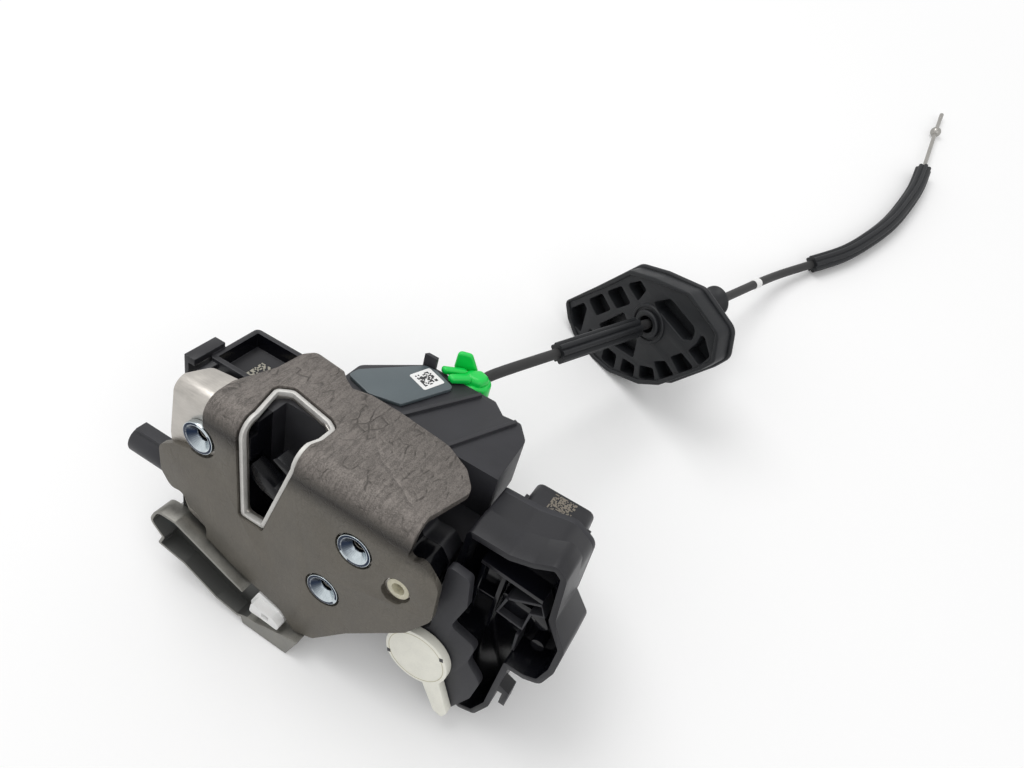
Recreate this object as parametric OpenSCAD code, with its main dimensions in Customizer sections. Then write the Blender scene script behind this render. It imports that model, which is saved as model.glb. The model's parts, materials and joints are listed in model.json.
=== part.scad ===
// Car door lock: striker latch, lock actuator and inside release cable.
// Every lock piece is drawn in lock axes: X along the bend of the shut plate, Y into the lock from
// the shut face, Z up the striker mouth, zero at the rim of insert B. laid() then rakes the lock
// the way it lies on a bench. The cable and the pieces on it are drawn on the bench.

/* [Shut plate] */
// Thickness of the dark steel shut plate
plate_t = 2.5; // [2:0.1:3]
// Thickness of the zinc plated backing plate
backing_t = 2; // [1.5:0.1:2.2]
// Outer radius of the bend between shut face and flange
bend_r = 8; // [7.5:0.1:9]
// Height of the flange's top face above insert B
flange_z = 26; // [25.5:0.1:27]
// Radius of the rolled hole round inserts B and C
insert_hole_r = 7.6; // [7.2:0.1:8]

/* [Striker mouth] */
// Width of the mouth at its closed end
mouth_end_w = 11.2; // [10.5:0.1:12]
// Width of the mouth where it passes the bend
mouth_top_w = 24.5; // [23:0.1:25.5]
// Height of the closed end, measured from insert B
mouth_end_z = -20.5; // [-21.5:0.1:-20]
// Depth of the mouth into the flange, measured from the shut face
mouth_depth = 24; // [22:0.1:25]
// How far the backing plate shows inside the shut plate's mouth
backing_lip = 1.7; // [1.2:0.1:2]

/* [Threaded inserts] */
// Diameter of an insert's rim
insert_rim_d = 13.5; // [12.5:0.1:14]
// Diameter of an insert's body behind the plates
insert_body_d = 10; // [9:0.1:10.4]
// Diameter of the countersink at the rim's face
insert_cone_d = 10.8; // [10:0.1:11.4]
// Core diameter of the M6 thread
insert_core_d = 5; // [4.8:0.05:5.2]
// Length of an insert behind the shut face
insert_len = 15; // [14:0.5:17]

/* [Claw and pawl] */
// Thickness of claw and pawl
claw_t = 6; // [5:0.1:6.2]
// Diameter of the claw's pin
claw_pin_d = 8; // [7:0.1:9]
// Reach of the claw's lower prong from its pin
claw_reach = 33; // [31:0.1:33.2]
// Width of the claw's slot for the striker
striker_slot_w = 11.2; // [10.8:0.1:11.6]
// Running clearance on a pin or shaft, on the radius
run_gap = 0.05; // [0.03:0.01:0.08]
// Clearance between stacked layers
layer_gap = 0.4; // [0.3:0.05:0.5]

/* [Housings] */
// Depth of the latch housing behind the shut face
latch_depth = 24; // [23:0.5:26]
// Thickness of the steel back plate
back_t = 1.5; // [1.2:0.1:2]
// Wall of the moulded housings
wall = 2.2; // [1.8:0.1:2.6]

/* [Actuator] */
// Depth of the actuator housing's open front behind the shut face
skirt_y = 12; // [12:0.5:13]
// Inside depth of the closed room for motor and wheel
room_depth = 16.3; // [15.5:0.1:18]
// Thickness of the rear cover
cover_t = 2.5; // [2:0.1:3]
// Diameter of the lock motor's can
motor_d = 17; // [16:0.1:18]
// Thickness of the can across its flats
motor_flat = 13.5; // [12:0.1:15]
// Length of the can
motor_len = 22; // [20:0.5:24]
// Module of the worm gearing
gear_m = 1; // [0.9:0.05:1.05]
// Teeth on the worm wheel
wheel_teeth = 24; // [22:1:25]
// Pitch diameter of the worm
worm_d = 8; // [7.5:0.1:8.4]

/* [Levers] */
// Diameter of the key lever's disc
key_disc_d = 26; // [24:0.1:27]
// Thickness of the key lever
key_t = 3.6; // [3:0.1:4]
// Sheet thickness of the outside lever
lever_t = 1.2; // [1:0.1:1.5]
// Height of the outside lever's raised edges
lever_h = 8; // [6:0.1:9]
// Length of the inside lever's arm, pin to cable
inside_arm = 14; // [13.5:0.1:14.5]

/* [Connector] */
// Outside width of the connector
connector_w = 24; // [22:0.1:26]
// Outside height of the connector
connector_h = 15; // [14:0.1:16]
// Length of the connector behind the rear cover
connector_len = 12.5; // [11:0.5:14]
// Number of contact pins in each row
pin_count = 5; // [3:1:6]

/* [Cable] */
// Diameter of the cable's conduit
conduit_d = 4.6; // [4:0.1:5]
// Diameter of the fluted sleeves
sleeve_d = 9.6; // [9:0.1:9.8]
// Diameter of the inner wire's rod
wire_d = 2.4; // [1.8:0.1:2.6]
// Diameter of the ball at the end of the wire
ball_d = 6.6; // [6:0.1:6.8]
// Diameter of the grommet's neck
neck_d = 12; // [11:0.5:13]

/* [Bench] */
// Rake of the lock as it lies on the bench
rake = 20; // [18:0.5:22]

/* [Hidden] */
$fn = 48;

// Colours
c_steel = [0.40, 0.38, 0.36];
c_zinc = [0.78, 0.78, 0.76];
c_black = [0.13, 0.13, 0.14];
c_grey = [0.45, 0.49, 0.51];
c_white = [0.92, 0.90, 0.84];
c_green = [0.0, 0.85, 0.32];
c_rubber = [0.17, 0.18, 0.18];

// Where the lock lies on the bench
bench_shift = [17.25, -30.45];
bench_lift = 72.64;
eps = 0.01;
// Clearance between pieces that seat on each other
seat_gap = 0.1;

// Layers behind the shut face
backing_y = plate_t + backing_t;
claw_y = backing_y + layer_gap;
claw_back = claw_y + claw_t;
arm_back = claw_back + 2;
bend_z = flange_z - bend_r;
backing_r = bend_r - plate_t;
under_r = backing_r - backing_t;
under_z = flange_z - plate_t - backing_t;
floor_y = latch_depth + back_t;
room_y = floor_y + wall;
room_back = room_y + room_depth;
cover_y = room_back + cover_t;
key_y = backing_y + seat_gap;

// Centres on the shut face, as [x, z]
insert_a = [-68.6, 6.2];
insert_b = [0, 0];
insert_c = [-9.8, -30.4];
inserts = [insert_a, insert_b, insert_c];
release_at = [18.6, -5.5];
claw_at = [-17, -6];
key_at = [30, -41];
lever_at = [-83, -50];

// Striker mouth
mouth_x = -49.4;
mouth_fold_x = -51.5;
mouth_right_x = mouth_fold_x + mouth_top_w;

// Claw angles, turned up from the direction of -X
slot_up = 27.4;
shoulder_up = -36;
lock_r = 21;
cam_r = 16;
waist_r = norm(insert_b - claw_at) - insert_body_d / 2 - 0.5;

// Pawl, as angles turned from +X towards +Z
pawl_hub = 8.2;
pawl_reach = 12.3;
pawl_up = 171;

// Springs of claw and pawl
claw_spring_d = 1.4;
claw_spring_turns = 3;
pawl_spring_d = 1;
pawl_spring_turns = 1;

// Worm gearing and lock lever
wheel_r = gear_m * wheel_teeth / 2;
worm_r = worm_d / 2;
motor_y = room_y + room_depth / 2;
wheel_at = [10, -14];
worm_z = wheel_at[1] - wheel_r - worm_r;
wheel_w = 6;
crank_r = 8;
crank_d = 4;
lock_at = [-20, -14];
lock_y = motor_y - wheel_w / 2 - 3;
motor_x = wheel_at[0] + 10.6;

// Connector
connector_x = 49.5;
connector_top = 13;

// Release housing and the cable's first stretch, in lock axes
block_y = 40;
release_z = 2;
release_top = 22.4;
release_back = 75.5;
guide_at = [-11.3, 66, 13.5];
wire_dir = [0.431, 0.899, 0.082];
wire_travel = 8;
guide_len = 6.2;
hook_at = guide_at - (guide_len + wire_travel + 2.8) * wire_dir;
inside_at = [hook_at[0] - 0.902 * inside_arm, hook_at[1] + 0.432 * inside_arm];
inside_z = 7;
inside_t = 2.3;

// Points of an arc
function arc(c, r, a0, a1, n = 8) =
  [for (i = [0:n]) c + r * [cos(a0 + (a1 - a0) * i / n), sin(a0 + (a1 - a0) * i / n)]];

function unit(v) = v / norm(v);
function flat(p) = [p[0], p[1]];
function turned(a) = a > 180 ? a - 360 : a < -180 ? a + 360 : a;

// Arc that rounds the corner p1 between p0 and p2 with radius r
function corner(p0, p1, p2, r, n) =
  let (
    u = unit(p0 - p1), v = unit(p2 - p1), half = acos(u * v) / 2,
    c = p1 + unit(u + v) * r / sin(half),
    s = p1 + u * r / tan(half) - c, e = p1 + v * r / tan(half) - c,
    a0 = atan2(s[1], s[0]), da = turned(atan2(e[1], e[0]) - a0)
  ) [for (i = [0:n]) c + r * [cos(a0 + da * i / n), sin(a0 + da * i / n)]];

// Outline with rounded corners, from points [x, y, radius]
function rounded(pts, n = 4) =
  let (k = len(pts)) [
    for (i = [0:k - 1])
      let (
        r = len(pts[i]) > 2 ? pts[i][2] : 0, a = flat(pts[(i + k - 1) % k]), p = flat(pts[i]),
        b = flat(pts[(i + 1) % k]), bent = abs(cross(unit(a - p), unit(b - p))) > 0.02
      )
      each (r > 0 && bent ? corner(a, p, b, r, n) : [p])
  ];

// Turning sense of an outline
function sense(pts) =
  let (k = len(pts), s = [for (i = [0:k - 1]) cross(flat(pts[i]), flat(pts[(i + 1) % k]))])
  sign(s * [for (v = s) 1]);

// Outline moved inwards by t
function inset(pts, t) =
  let (k = len(pts), w = sense(pts)) [
    for (i = [0:k - 1])
      let (
        p = flat(pts[i]), u = unit(p - flat(pts[(i + k - 1) % k])), v = unit(flat(pts[(i + 1) % k]) - p),
        nu = w * [-u[1], u[0]], n = unit(nu + w * [-v[1], v[0]]), r = len(pts[i]) > 2 ? pts[i][2] : 0,
        q = p + n * t / (n * nu), open = cross(u, v) * w < 0
      )
      [q[0], q[1], r == 0 ? 0 : open ? r : max(r - t, 0.3)]
  ];

module outline(pts) polygon(rounded(pts));

// Upright slab between two depths, its outline drawn in X and Z
module upright(y0, y1) translate([0, y1, 0]) rotate([90, 0, 0]) linear_extrude(y1 - y0) children();

// Level slab between two heights, its outline drawn in X and Y
module level(z0, z1) translate([0, 0, z0]) linear_extrude(z1 - z0) children();

// Round bar along Y, at a point [x, z]
module bar(at, d, y0, y1) translate([at[0], y1, at[1]]) rotate([90, 0, 0]) cylinder(h = y1 - y0, d = d);

// Cone along Y, from diameter d0 at depth y0
module sink(at, d0, d1, y0, y1)
  translate([at[0], y0, at[1]]) rotate([-90, 0, 0]) cylinder(h = y1 - y0, d1 = d0, d2 = d1);

// Round rod between two points
module rod(a, b, d) {
  v = b - a;
  translate(a) rotate([0, acos(v[2] / norm(v)), atan2(v[1], v[0])]) cylinder(h = norm(v), d = d);
}

// Lock axes to bench axes
module laid() translate([bench_shift[0], bench_shift[1], bench_lift]) rotate([-rake, 0, 0]) children();
module bench() translate([bench_shift[0], bench_shift[1], 0]) children();
function on_bench(p) =
  [p[0], p[1] * cos(rake) + p[2] * sin(rake), p[2] * cos(rake) - p[1] * sin(rake) + bench_lift];

// Smooth path through points
function blend_at(a, b, c, d, t) =
  0.5 * (2 * b + (c - a) * t + (2 * a - 5 * b + 4 * c - d) * t * t + (3 * b - a - 3 * c + d) * t * t * t);
function smooth(p, n) =
  let (k = len(p) - 1) concat(
    [for (i = [0:k - 1], j = [0:n - 1]) blend_at(p[max(i - 1, 0)], p[i], p[i + 1], p[min(i + 2, k)], j / n)],
    [p[k]]
  );

// Closed tube swept along a path, its section given as points round the path
module sweep(p, section, up = [0, 0, 1]) {
  k = len(p) - 1;
  n = len(section);
  points = [
    for (i = [0:k])
      let (t = unit(p[min(i + 1, k)] - p[max(i - 1, 0)]), u = unit(cross(t, up)), v = cross(u, t))
      for (q = section) p[i] + q[0] * u + q[1] * v
  ];
  polyhedron(points = points, faces = concat(
    [[for (j = [0:n - 1]) j]],
    [for (i = [0:k - 1], j = [0:n - 1]) let (m = (j + 1) % n) [i * n + j, i * n + n + j, i * n + n + m, i * n + m]],
    [[for (j = [n - 1:-1:0]) k * n + j]]
  ));
}
function round_section(r, n) = [for (j = [0:n - 1]) r * [cos(360 * j / n), -sin(360 * j / n)]];
function fluted_section(r, n) =
  [for (j = [0:2 * n - 1]) (j % 2 == 0 ? r : r * 0.84) * [cos(180 * j / n), -sin(180 * j / n)]];

// Quarter bend from the shut face to the flange
module bend(x0, x1, ro, ri) {
  translate([x0, bend_r, bend_z]) rotate([90, 0, 90]) difference() {
    intersection() {
      cylinder(h = x1 - x0, r = ro);
      translate([-ro - 1, 0, 0]) cube([ro + 1, ro + 1, x1 - x0]);
    }
    translate([0, 0, -1]) cylinder(h = x1 - x0 + 2, r = ri);
  }
}

// Cutter for the striker mouth; in shrinks it on every side
module mouth_cut(in, y0, top) {
  upright(y0, bend_r + eps) outline([
    [mouth_x + in, mouth_end_z + in, 2], [mouth_x + mouth_end_w - in, mouth_end_z + in, 1.5],
    [mouth_right_x - in, bend_z, 4], [mouth_right_x - in, top],
    [mouth_fold_x + in, top], [mouth_fold_x + in, bend_z - 1]
  ]);
  level(bend_z, top) outline([
    [mouth_fold_x + in, bend_r], [mouth_right_x - in, bend_r],
    [mouth_right_x + 1.5 - in, bend_r + 4, 3], [mouth_right_x + 1.5 - in, mouth_depth - 4 - in, 3],
    [mouth_right_x - 3 - in, mouth_depth - 1.5 - in, 3], [mouth_x + 0.5, mouth_depth + 2 - in, 4],
    [mouth_fold_x - 3.2 + in, mouth_depth - 2 - in, 3]
  ]);
}

// Dark steel plate: shut face, bend and flange
module shut_plate() {
  face = [
    [20, bend_z], [18.6, 10.5, 2], [25, 14.5, 3], [32.5, 7, 6], [33.2, -10, 8], [25.3, -24, 8],
    [3, -46, 8], [-11, -63, 4], [-20, -66.5, 3], [-27, -58.8, 4], [-38, -55.2, 4], [-50, -51.6, 4],
    [-66, -44, 4], [-77, -27, 3], [-82, -29, 4], [-87, -22, 5], [-87.5, -9, 5], [-81, -4.5, 4],
    [-72, -1.2], [-68, 5], [-65.9, 13.8], [-66, bend_z]
  ];
  flange = [
    [-66, bend_r], [20, bend_r], [21.2, 12, 1.5], [25, 26, 5], [18.5, 33.5, 7], [7.5, 39, 12],
    [-14.7, 41.2, 10], [-27, 41.5, 6], [-34.5, 39.5, 2], [-39, 42, 1.5], [-42.5, 45, 1.5],
    [-56.5, 46.5, 3], [-59.5, 42, 4], [-60.5, 30, 6], [-66, 14, 4]
  ];
  color(c_steel) laid() difference() {
    union() {
      upright(0, plate_t) outline(face);
      bend(-66, 20, bend_r, backing_r);
      level(flange_z - plate_t, flange_z) outline(flange);
    }
    mouth_cut(0, -1, flange_z + 1);
    bar(insert_a, 16.2, -1, plate_t + 1);
    bar(insert_b, 2 * insert_hole_r, -1, plate_t + 1);
    bar(insert_c, 2 * insert_hole_r, -1, plate_t + 1);
    bar([-73, -42], 17, -1, plate_t + 1);
    bar(release_at, 10.6, -1, plate_t + 1);
    bar(release_at - [1.4, 3], 9, -1, plate_t + 1);
  }
}

// Zinc plated plate behind the shut plate, seen round insert A and inside the mouth
module backing_plate() {
  face = [
    [17, bend_z], [17, 8, 3], [24, 10, 3], [29.5, 4, 5], [30, -9, 6], [23, -21, 7], [1, -42, 7],
    [-12, -60, 4], [-20, -63, 3], [-30, -56, 3], [-33, -49, 3], [-48, -49.5, 4], [-64, -45, 4],
    [-76, -40, 5], [-82, -24, 8], [-84, -2, 8], [-82, bend_z]
  ];
  flange = [
    [-82, bend_r], [17, bend_r], [18, 22, 6], [8, 35, 6], [-14, 38, 6], [-56, 38, 5],
    [-60, 19, 3], [-78, 16.5, 3]
  ];
  color(c_zinc) laid() difference() {
    union() {
      upright(plate_t, backing_y) outline(face);
      bend(-82, 17, backing_r, under_r);
      level(under_z, flange_z - plate_t) outline(flange);
    }
    mouth_cut(backing_lip, plate_t - 1, flange_z);
    for (at = inserts) bar(at, insert_body_d, 0, backing_y + 1);
    bar(claw_at, claw_pin_d, 0, backing_y + 1);
    bar(release_at, 7, 0, backing_y + 1);
  }
}

// Three countersunk M6 inserts; B and C stand in the shut plate's holes, A on the backing plate
module threaded_inserts() {
  color(c_zinc) laid() for (at = inserts) difference() {
    union() {
      bar(at, insert_rim_d, 0, plate_t);
      bar(at, insert_body_d, plate_t, insert_len);
    }
    bar(at, insert_core_d, -1, insert_len + 1);
    sink(at, insert_cone_d + 0.4, insert_core_d, -0.2, (insert_cone_d - insert_core_d) / 2);
  }
}

// Hollow pin seen through the long hole at the lower right of the shut face
module release_pin() {
  color(c_white) laid() difference() {
    union() {
      bar(release_at, 8.8, 0.6, plate_t);
      bar(release_at, 7, plate_t, 20);
    }
    bar(release_at, 5, 0, 21);
  }
}

// Rivet that carries the claw
module claw_pin() {
  color(c_zinc) laid() bar(claw_at, claw_pin_d, plate_t, latch_depth);
}

// Fork that catches the striker, drawn open
function claw_p(r, up) = claw_at + r * [-cos(up), sin(up)];
function slot_p(along, off) =
  claw_at + along * [-cos(slot_up), sin(slot_up)] + off * [sin(slot_up), cos(slot_up)];

module claw() {
  half = striker_slot_w / 2;
  color(c_steel) laid() difference() {
    upright(claw_y, claw_back) difference() {
      polygon(concat(
        [claw_p(cam_r + 2, 60), claw_p(24, 52), claw_p(29, 44), claw_p(29, 40), claw_p(29, 32)],
        [for (a = [22:-3:7]) claw_p(claw_reach, a)],
        [claw_p(27, 0)],
        [for (a = [-4:-4:shoulder_up]) claw_p(lock_r, a)],
        [for (a = [shoulder_up - 1:-9:-138]) claw_p(cam_r, a)],
        [for (a = [-150:-11:-216]) claw_p(waist_r, a)],
        [for (a = [138:-15:75]) claw_p(cam_r - 2, a)]
      ));
      polygon([
        slot_p(60, half + 2), slot_p(claw_reach - 3, half), slot_p(21, half), slot_p(16.5, 3),
        slot_p(16.5, -3), slot_p(21, -half), slot_p(60, -half)
      ]);
    }
    bar(claw_at, claw_pin_d + 2 * run_gap, 0, 30);
  }
}

// Pawl on insert C, drawn lifted clear of the claw
function pawl_p(r, a) = insert_c + r * [cos(a), sin(a)];

module pawl() {
  color(c_steel) laid() difference() {
    upright(claw_y, claw_back) polygon(concat(
      [for (a = [pawl_up + 28:10:pawl_up + 338]) pawl_p(pawl_hub, a)],
      [pawl_p(pawl_reach, pawl_up - 6), pawl_p(pawl_reach, pawl_up + 6)]
    ));
    bar(insert_c, insert_body_d + 2 * run_gap, 0, 30);
  }
}

// Release arm of the pawl, its end seen below the shut plate
module pawl_lever() {
  tip = [8, -44.5];
  color(c_steel) laid() difference() {
    upright(claw_back, arm_back) outline([
      pawl_p(8, 150), pawl_p(8, 195), pawl_p(8, 240), [-3, -47, 3], [3, -51.5, 3], [12, -51, 4], [16, -44, 3],
      [8.5, -38, 4], pawl_p(8, 20), pawl_p(8, 65), pawl_p(8, 110)
    ]);
    bar(insert_c, insert_body_d + 2 * run_gap, 0, 30);
    bar(tip, 4, 0, 30);
  }
}

// Close wound spring round an axis along Y
module coil(at, mean_r, d, y0, turns) {
  n = 20;
  color(c_zinc) laid() sweep([
    for (i = [0:n * turns])
      [at[0] + mean_r * cos(360 * i / n), y0 + d / 2 + (d + 0.1) * i / n, at[1] + mean_r * sin(360 * i / n)]
  ], round_section(d / 2, 8), [0, 1, 0]);
}
function coil_end(y0, d, turns) = y0 + turns * (d + 0.1) + d + 0.1;

module claw_spring()
  coil(claw_at, claw_pin_d / 2 + 1.4, claw_spring_d, claw_back + 0.1, claw_spring_turns);
module pawl_spring()
  coil(insert_c, insert_body_d / 2 + 1.1, pawl_spring_d, arm_back + 0.1, pawl_spring_turns);

// Rubber stop behind the closed end of the mouth
function buffer_outline(up) = [
  [mouth_x + 2, mouth_end_z - 3], [mouth_x + mouth_end_w - 1, mouth_end_z - 3],
  [mouth_x + mouth_end_w - 1, mouth_end_z + 1.5 + up], [mouth_x + 2, mouth_end_z + 1.5 + up]
];
module striker_buffer() {
  color(c_rubber) laid() upright(claw_back + 3, latch_depth - 2) outline(buffer_outline(0));
}

// Front moulding of the latch housing, up to the rear ends of the inserts
module latch_housing() {
  color(c_black) laid() intersection() {
    latch_block();
    translate([-100, 0, -70]) cube([140, insert_len, 100]);
  }
}

// Rear moulding, which closes the pockets and carries the release housing
module latch_rear() {
  color(c_black) laid() intersection() {
    latch_block();
    translate([-100, insert_len, -70]) cube([140, block_y, 100]);
  }
}

// Both mouldings, with pockets for claw, pawl and striker
module latch_block() {
  outer = [
    [16, 16, 2], [16, 7, 2], [24, 8, 3], [28, 3, 4], [28.5, -9, 5], [22, -20, 6], [0, -41, 6],
    [-13, -58, 4], [-20, -61, 3], [-30, -54, 3], [-33, -47, 3], [-50, -47.5, 4], [-62, -46, 4],
    [-68, -52, 3], [-83, -56, 5], [-88, -50, 5], [-81, -42], [-81, -20], [-82, -2, 8], [-80, 16, 3]
  ];
  difference() {
    union() {
      upright(backing_y, latch_depth) outline(outer);
      level(release_z, under_z) outline([
        [-80, bend_r], [16, bend_r], [16, 22, 5], [8, 33, 5], [6, block_y], [-44, block_y],
        [-56, 36, 4], [-60, 19, 4], [-77, 16, 3]
      ]);
    }
    mouth_room();
    upright(backing_y - 1, claw_back + layer_gap) intersection() {
      union() {
        translate(claw_at) circle(r = claw_reach + 1.2);
        translate(insert_c) circle(r = 16.2);
      }
      polygon([[-60, -44], [6, -44], [6, 15.2], [-60, 15.2]]);
    }
    upright(claw_back - eps, arm_back + layer_gap) intersection() {
      translate(insert_c) circle(r = 40);
      union() {
        translate(insert_c) circle(r = 10);
        polygon([pawl_p(9.5, 30), pawl_p(45, -2), pawl_p(60, -50), pawl_p(45, -100), pawl_p(9.5, -130)]);
      }
    }
    bar(claw_at, claw_pin_d + 7.4, 0, coil_end(claw_back + 0.1, claw_spring_d, claw_spring_turns));
    bar(insert_c, insert_body_d + 7, 0, coil_end(arm_back + 0.1, pawl_spring_d, pawl_spring_turns));
    bar(claw_at, claw_pin_d, 0, 60);
    for (at = inserts) bar(at, insert_body_d, 0, insert_len);
    bar(release_at, 7, 0, 60);
    bar(lever_at, 5, 0, 14);
    upright(claw_back + 3, latch_depth - 2) outline(buffer_outline(2));
  }
}

// Space for the striker, open at the shut face and at the flange
module mouth_room() {
  in = backing_lip + 0.8;
  upright(0, latch_depth - 2) outline([
    [mouth_x + in - 1.3, mouth_end_z + 1.5], [mouth_x + mouth_end_w - in + 1, mouth_end_z + 1.5],
    [mouth_right_x - in, bend_z], [mouth_right_x - in, flange_z + 1],
    [mouth_fold_x + in, flange_z + 1], [mouth_fold_x + in, bend_z]
  ]);
}

// Steel plate that closes the latch housing and holds the pins' rear ends
module back_plate() {
  color(c_zinc) laid() upright(latch_depth, floor_y) outline([
    [14, 1.5, 2], [20, -8, 4], [18, -20, 5], [-2, -39, 5], [-14, -55, 4], [-22, -57, 3],
    [-34, -44, 3], [-50, -44, 4], [-70, -40, 6], [-76, -20, 5], [-76, 1.5, 2]
  ]);
}

// Open tray at the upper left, with the clip hook beside it
module end_cap() {
  rim = 19;
  tray_z = 12;
  tray_y = latch_depth + seat_gap;
  tray_end = tray_y + 24.9;
  tray = [[-87, tray_y, 1.5], [-60.1, tray_y], [-60.1, tray_end, 2], [-87, tray_end, 2]];
  color(c_black) laid() {
    difference() {
      level(release_z, rim) outline(tray);
      level(tray_z, rim + 1) outline(inset(tray, wall));
      level(release_z - 1, tray_z - wall) outline(inset(tray, wall));
    }
    level(15, 17.5) polygon([[-86, 17], [-83, 17], [-83, tray_y + 0.2], [-86, tray_y + 0.2]]);
    difference() {
      level(10, 21) polygon([[-92, 17], [-87, 17], [-87, 32], [-92, 32]]);
      level(9, 18) polygon([[-90, 16], [-86.5, 16], [-86.5, 29], [-90, 29]]);
    }
  }
}

// Round stub that stands out of the housing's left side
module side_knob() {
  r = 6;
  color(c_black) laid() translate([0, 10.6, -28.5]) rotate([0, -90, 0]) difference() {
    union() {
      translate([0, 0, 81]) cylinder(h = 29, r = r);
      translate([0, -2.6, 81]) cube([r + 1.2, 5.2, 28]);
    }
    translate([0, 0, 101]) cylinder(h = 12, r = r - 2.2);
  }
}

// Upper housing under the label, with the inside release lever in it
release_outline = [
  [-43, block_y], [28, block_y], [26.5, 64, 4], [20.5, 71.5, 2], [13, 70.5, 1], [7, release_back, 2],
  [-24, release_back, 2], [-43, 56, 4]
];

module release_housing() {
  rib_y = guide_at[1] - 4.5;
  color(c_black) laid() {
    difference() {
      level(release_z, release_top) outline(release_outline);
      level(release_z + wall, release_top - wall) outline(inset(release_outline, wall));
      rod(guide_at, guide_at + 20 * wire_dir + [0, 0, 4], 7);
    }
    for (p = [[-15, 43, 1, 74], [6, 41, 19, 70]]) ridge(p, release_top);
    level(release_top - 1, 28) polygon([[-26, 73.9], [-20.5, 73.9], [-20.5, release_back], [-25, release_back]]);
    translate([inside_at[0], inside_at[1], release_z + 1]) cylinder(h = inside_z - release_z - 1, d = 9);
    difference() {
      level(inside_z + inside_t + 0.9, release_top - 1) translate([guide_at[0] - 9, rib_y]) square([14, 2.4]);
      rod(hook_at, guide_at + 3 * wire_dir, 6.4);
    }
  }
}

// Thin upstanding ridge along the housing's top
module ridge(p, z) {
  v = unit([p[2] - p[0], p[3] - p[1]]);
  w = 0.8 * [-v[1], v[0]];
  a = [p[0], p[1]];
  b = [p[2], p[3]];
  level(z - 1, z + 1.4) polygon([a + w, a - w, b - w, b + w]);
}

// Grey plate that carries the label
module label_plate() {
  color(c_grey) laid() level(release_top, release_top + 1.6) outline([
    [-42, 47, 2], [-41, 52, 3], [-27, 69, 3], [-24, 72.5, 2], [-19, 73, 2], [-8.5, 69, 2], [-18, 47], [-30, 43.5, 2]
  ]);
}

// Lever that the inside release cable turns; its slot holds the wire's barrel
module inside_lever() {
  side = [0.902, -0.432];
  along = [0.432, 0.902];
  h = flat(hook_at);
  color(c_zinc) laid() difference() {
    level(inside_z, inside_z + inside_t) polygon(concat(
      arc(inside_at, 4.6, 64, 244, 12), [h + 7.2 * side - 4.6 * along, h + 7.2 * side + 4.6 * along]
    ));
    translate([inside_at[0], inside_at[1], 0]) cylinder(h = 30, d = 5 + 2 * run_gap);
    level(inside_z - 1, inside_z + inside_t + 1) polygon([
      h - 3 * side - 2.9 * along, h + 5.1 * side - 2.9 * along,
      h + 5.1 * side + 2.9 * along, h - 3 * side + 2.9 * along
    ]);
  }
}

module inside_lever_pin() {
  color(c_zinc) laid() translate([inside_at[0], inside_at[1], inside_z]) cylinder(h = release_top - wall - inside_z, d = 5);
}

// Near end of the wire with its barrel, in the inside lever's slot
module near_wire() {
  color(c_zinc) laid() {
    translate([hook_at[0], hook_at[1], inside_z + 0.2]) cylinder(h = 6.6, d = 5);
    rod(hook_at, guide_at - (guide_len - 1.2) * wire_dir, 1.6);
  }
}

// Straight tube that leads the wire from the conduit to the inside lever
module wire_guide() {
  color(c_black) laid() difference() {
    rod(guide_at - guide_len * wire_dir, guide_at - eps * wire_dir, 6.4);
    rod(guide_at - (guide_len + 1) * wire_dir, guide_at + wire_dir, 2.6);
  }
}

// Outline of the actuator's open front
skirt = [
  [30, 17.5, 2], [36, 17.5, 3], [46, 17.5, 5], [54, 20, 5], [61.5, 24.5, 3], [66, 21, 3], [68.5, 6.5, 3],
  [75.5, -2, 4], [75.5, -15, 5], [73, -24.5, 4], [67, -27, 3], [61, -27, 1], [60, -54, 5],
  [56, -64, 3], [48.5, -66.5, 2], [45, -58, 3], [43, -30, 2], [30.5, -27, 2]
];

// Outline of the closed room behind it
body = [
  [-36, release_z, 2], [29.8, release_z], [29.8, 15, 1], [44, 15.5, 5], [58, 19, 6], [67, 14, 5], [68, -12, 9],
  [60, -32, 7], [44, -41.5, 5], [8, -41.5, 6], [-12, -30, 6], [-36, -26, 5]
];

screw_at = [[-30, -4], [-30, -20], [62.5, -7], [50, -31]];

// Moulded shell of the lock actuator: open front with ribs, closed room behind for motor and wheel
module actuator_housing() {
  color(c_black) laid() {
    difference() {
      union() {
        difference() {
          union() {
            upright(skirt_y, floor_y + 5.5) outline(skirt);
            upright(floor_y, room_back) outline(body);
          }
          upright(skirt_y - 1, floor_y) outline(inset(skirt, wall));
          upright(room_y, room_back + 1) outline(inset(body, wall));
        }
        for (at = screw_at) bar(at, 6.4, room_y - 1, room_back);
        bar(lock_at, 7, room_y - 1, lock_y);
        bar(lock_at, crank_d, room_y - 1, lock_y + 3.4);
        bar(wheel_at, 7, room_y - 1, motor_y - wheel_w / 2);
        upright(room_y - 1, room_back) translate([18.6, worm_z - 9.5]) square([2, worm_r + 11.5]);
      }
      for (at = screw_at) bar(at, 2.6, room_y + 2, room_back + 1);
      bar(wheel_at, crank_d, room_y - 0.5, room_back);
      translate([18, motor_y, worm_z]) rotate([0, 90, 0]) cylinder(h = 3, d = 2 + 2 * run_gap);
    }
    upright(floor_y - 8, floor_y + eps) polygon([[38, 8], [62, 6], [62, 7.6], [38, 9.6]]);
    upright(floor_y - 5, floor_y + eps) polygon([[34, -10], [46, -10], [46, -8.4], [34, -8.4]]);
    for (x = [38, 46]) upright(floor_y - 6, floor_y + eps) translate([x, -23]) square([1.5, 30]);
    upright(floor_y - 5, floor_y + eps) outline([
      [48, -3, 1], [64, -3, 2], [68, -9, 2], [64, -10, 1], [60, -6.5, 1], [54, -16, 1], [50, -14, 1]
    ]);
    bar([66, -17], 5, floor_y - 6, floor_y + eps);
    upright(skirt_y, 18) polygon([[60, -38], [65, -40], [65, -48], [62.6, -48], [62.6, -42], [60, -42]]);
  }
}

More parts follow.
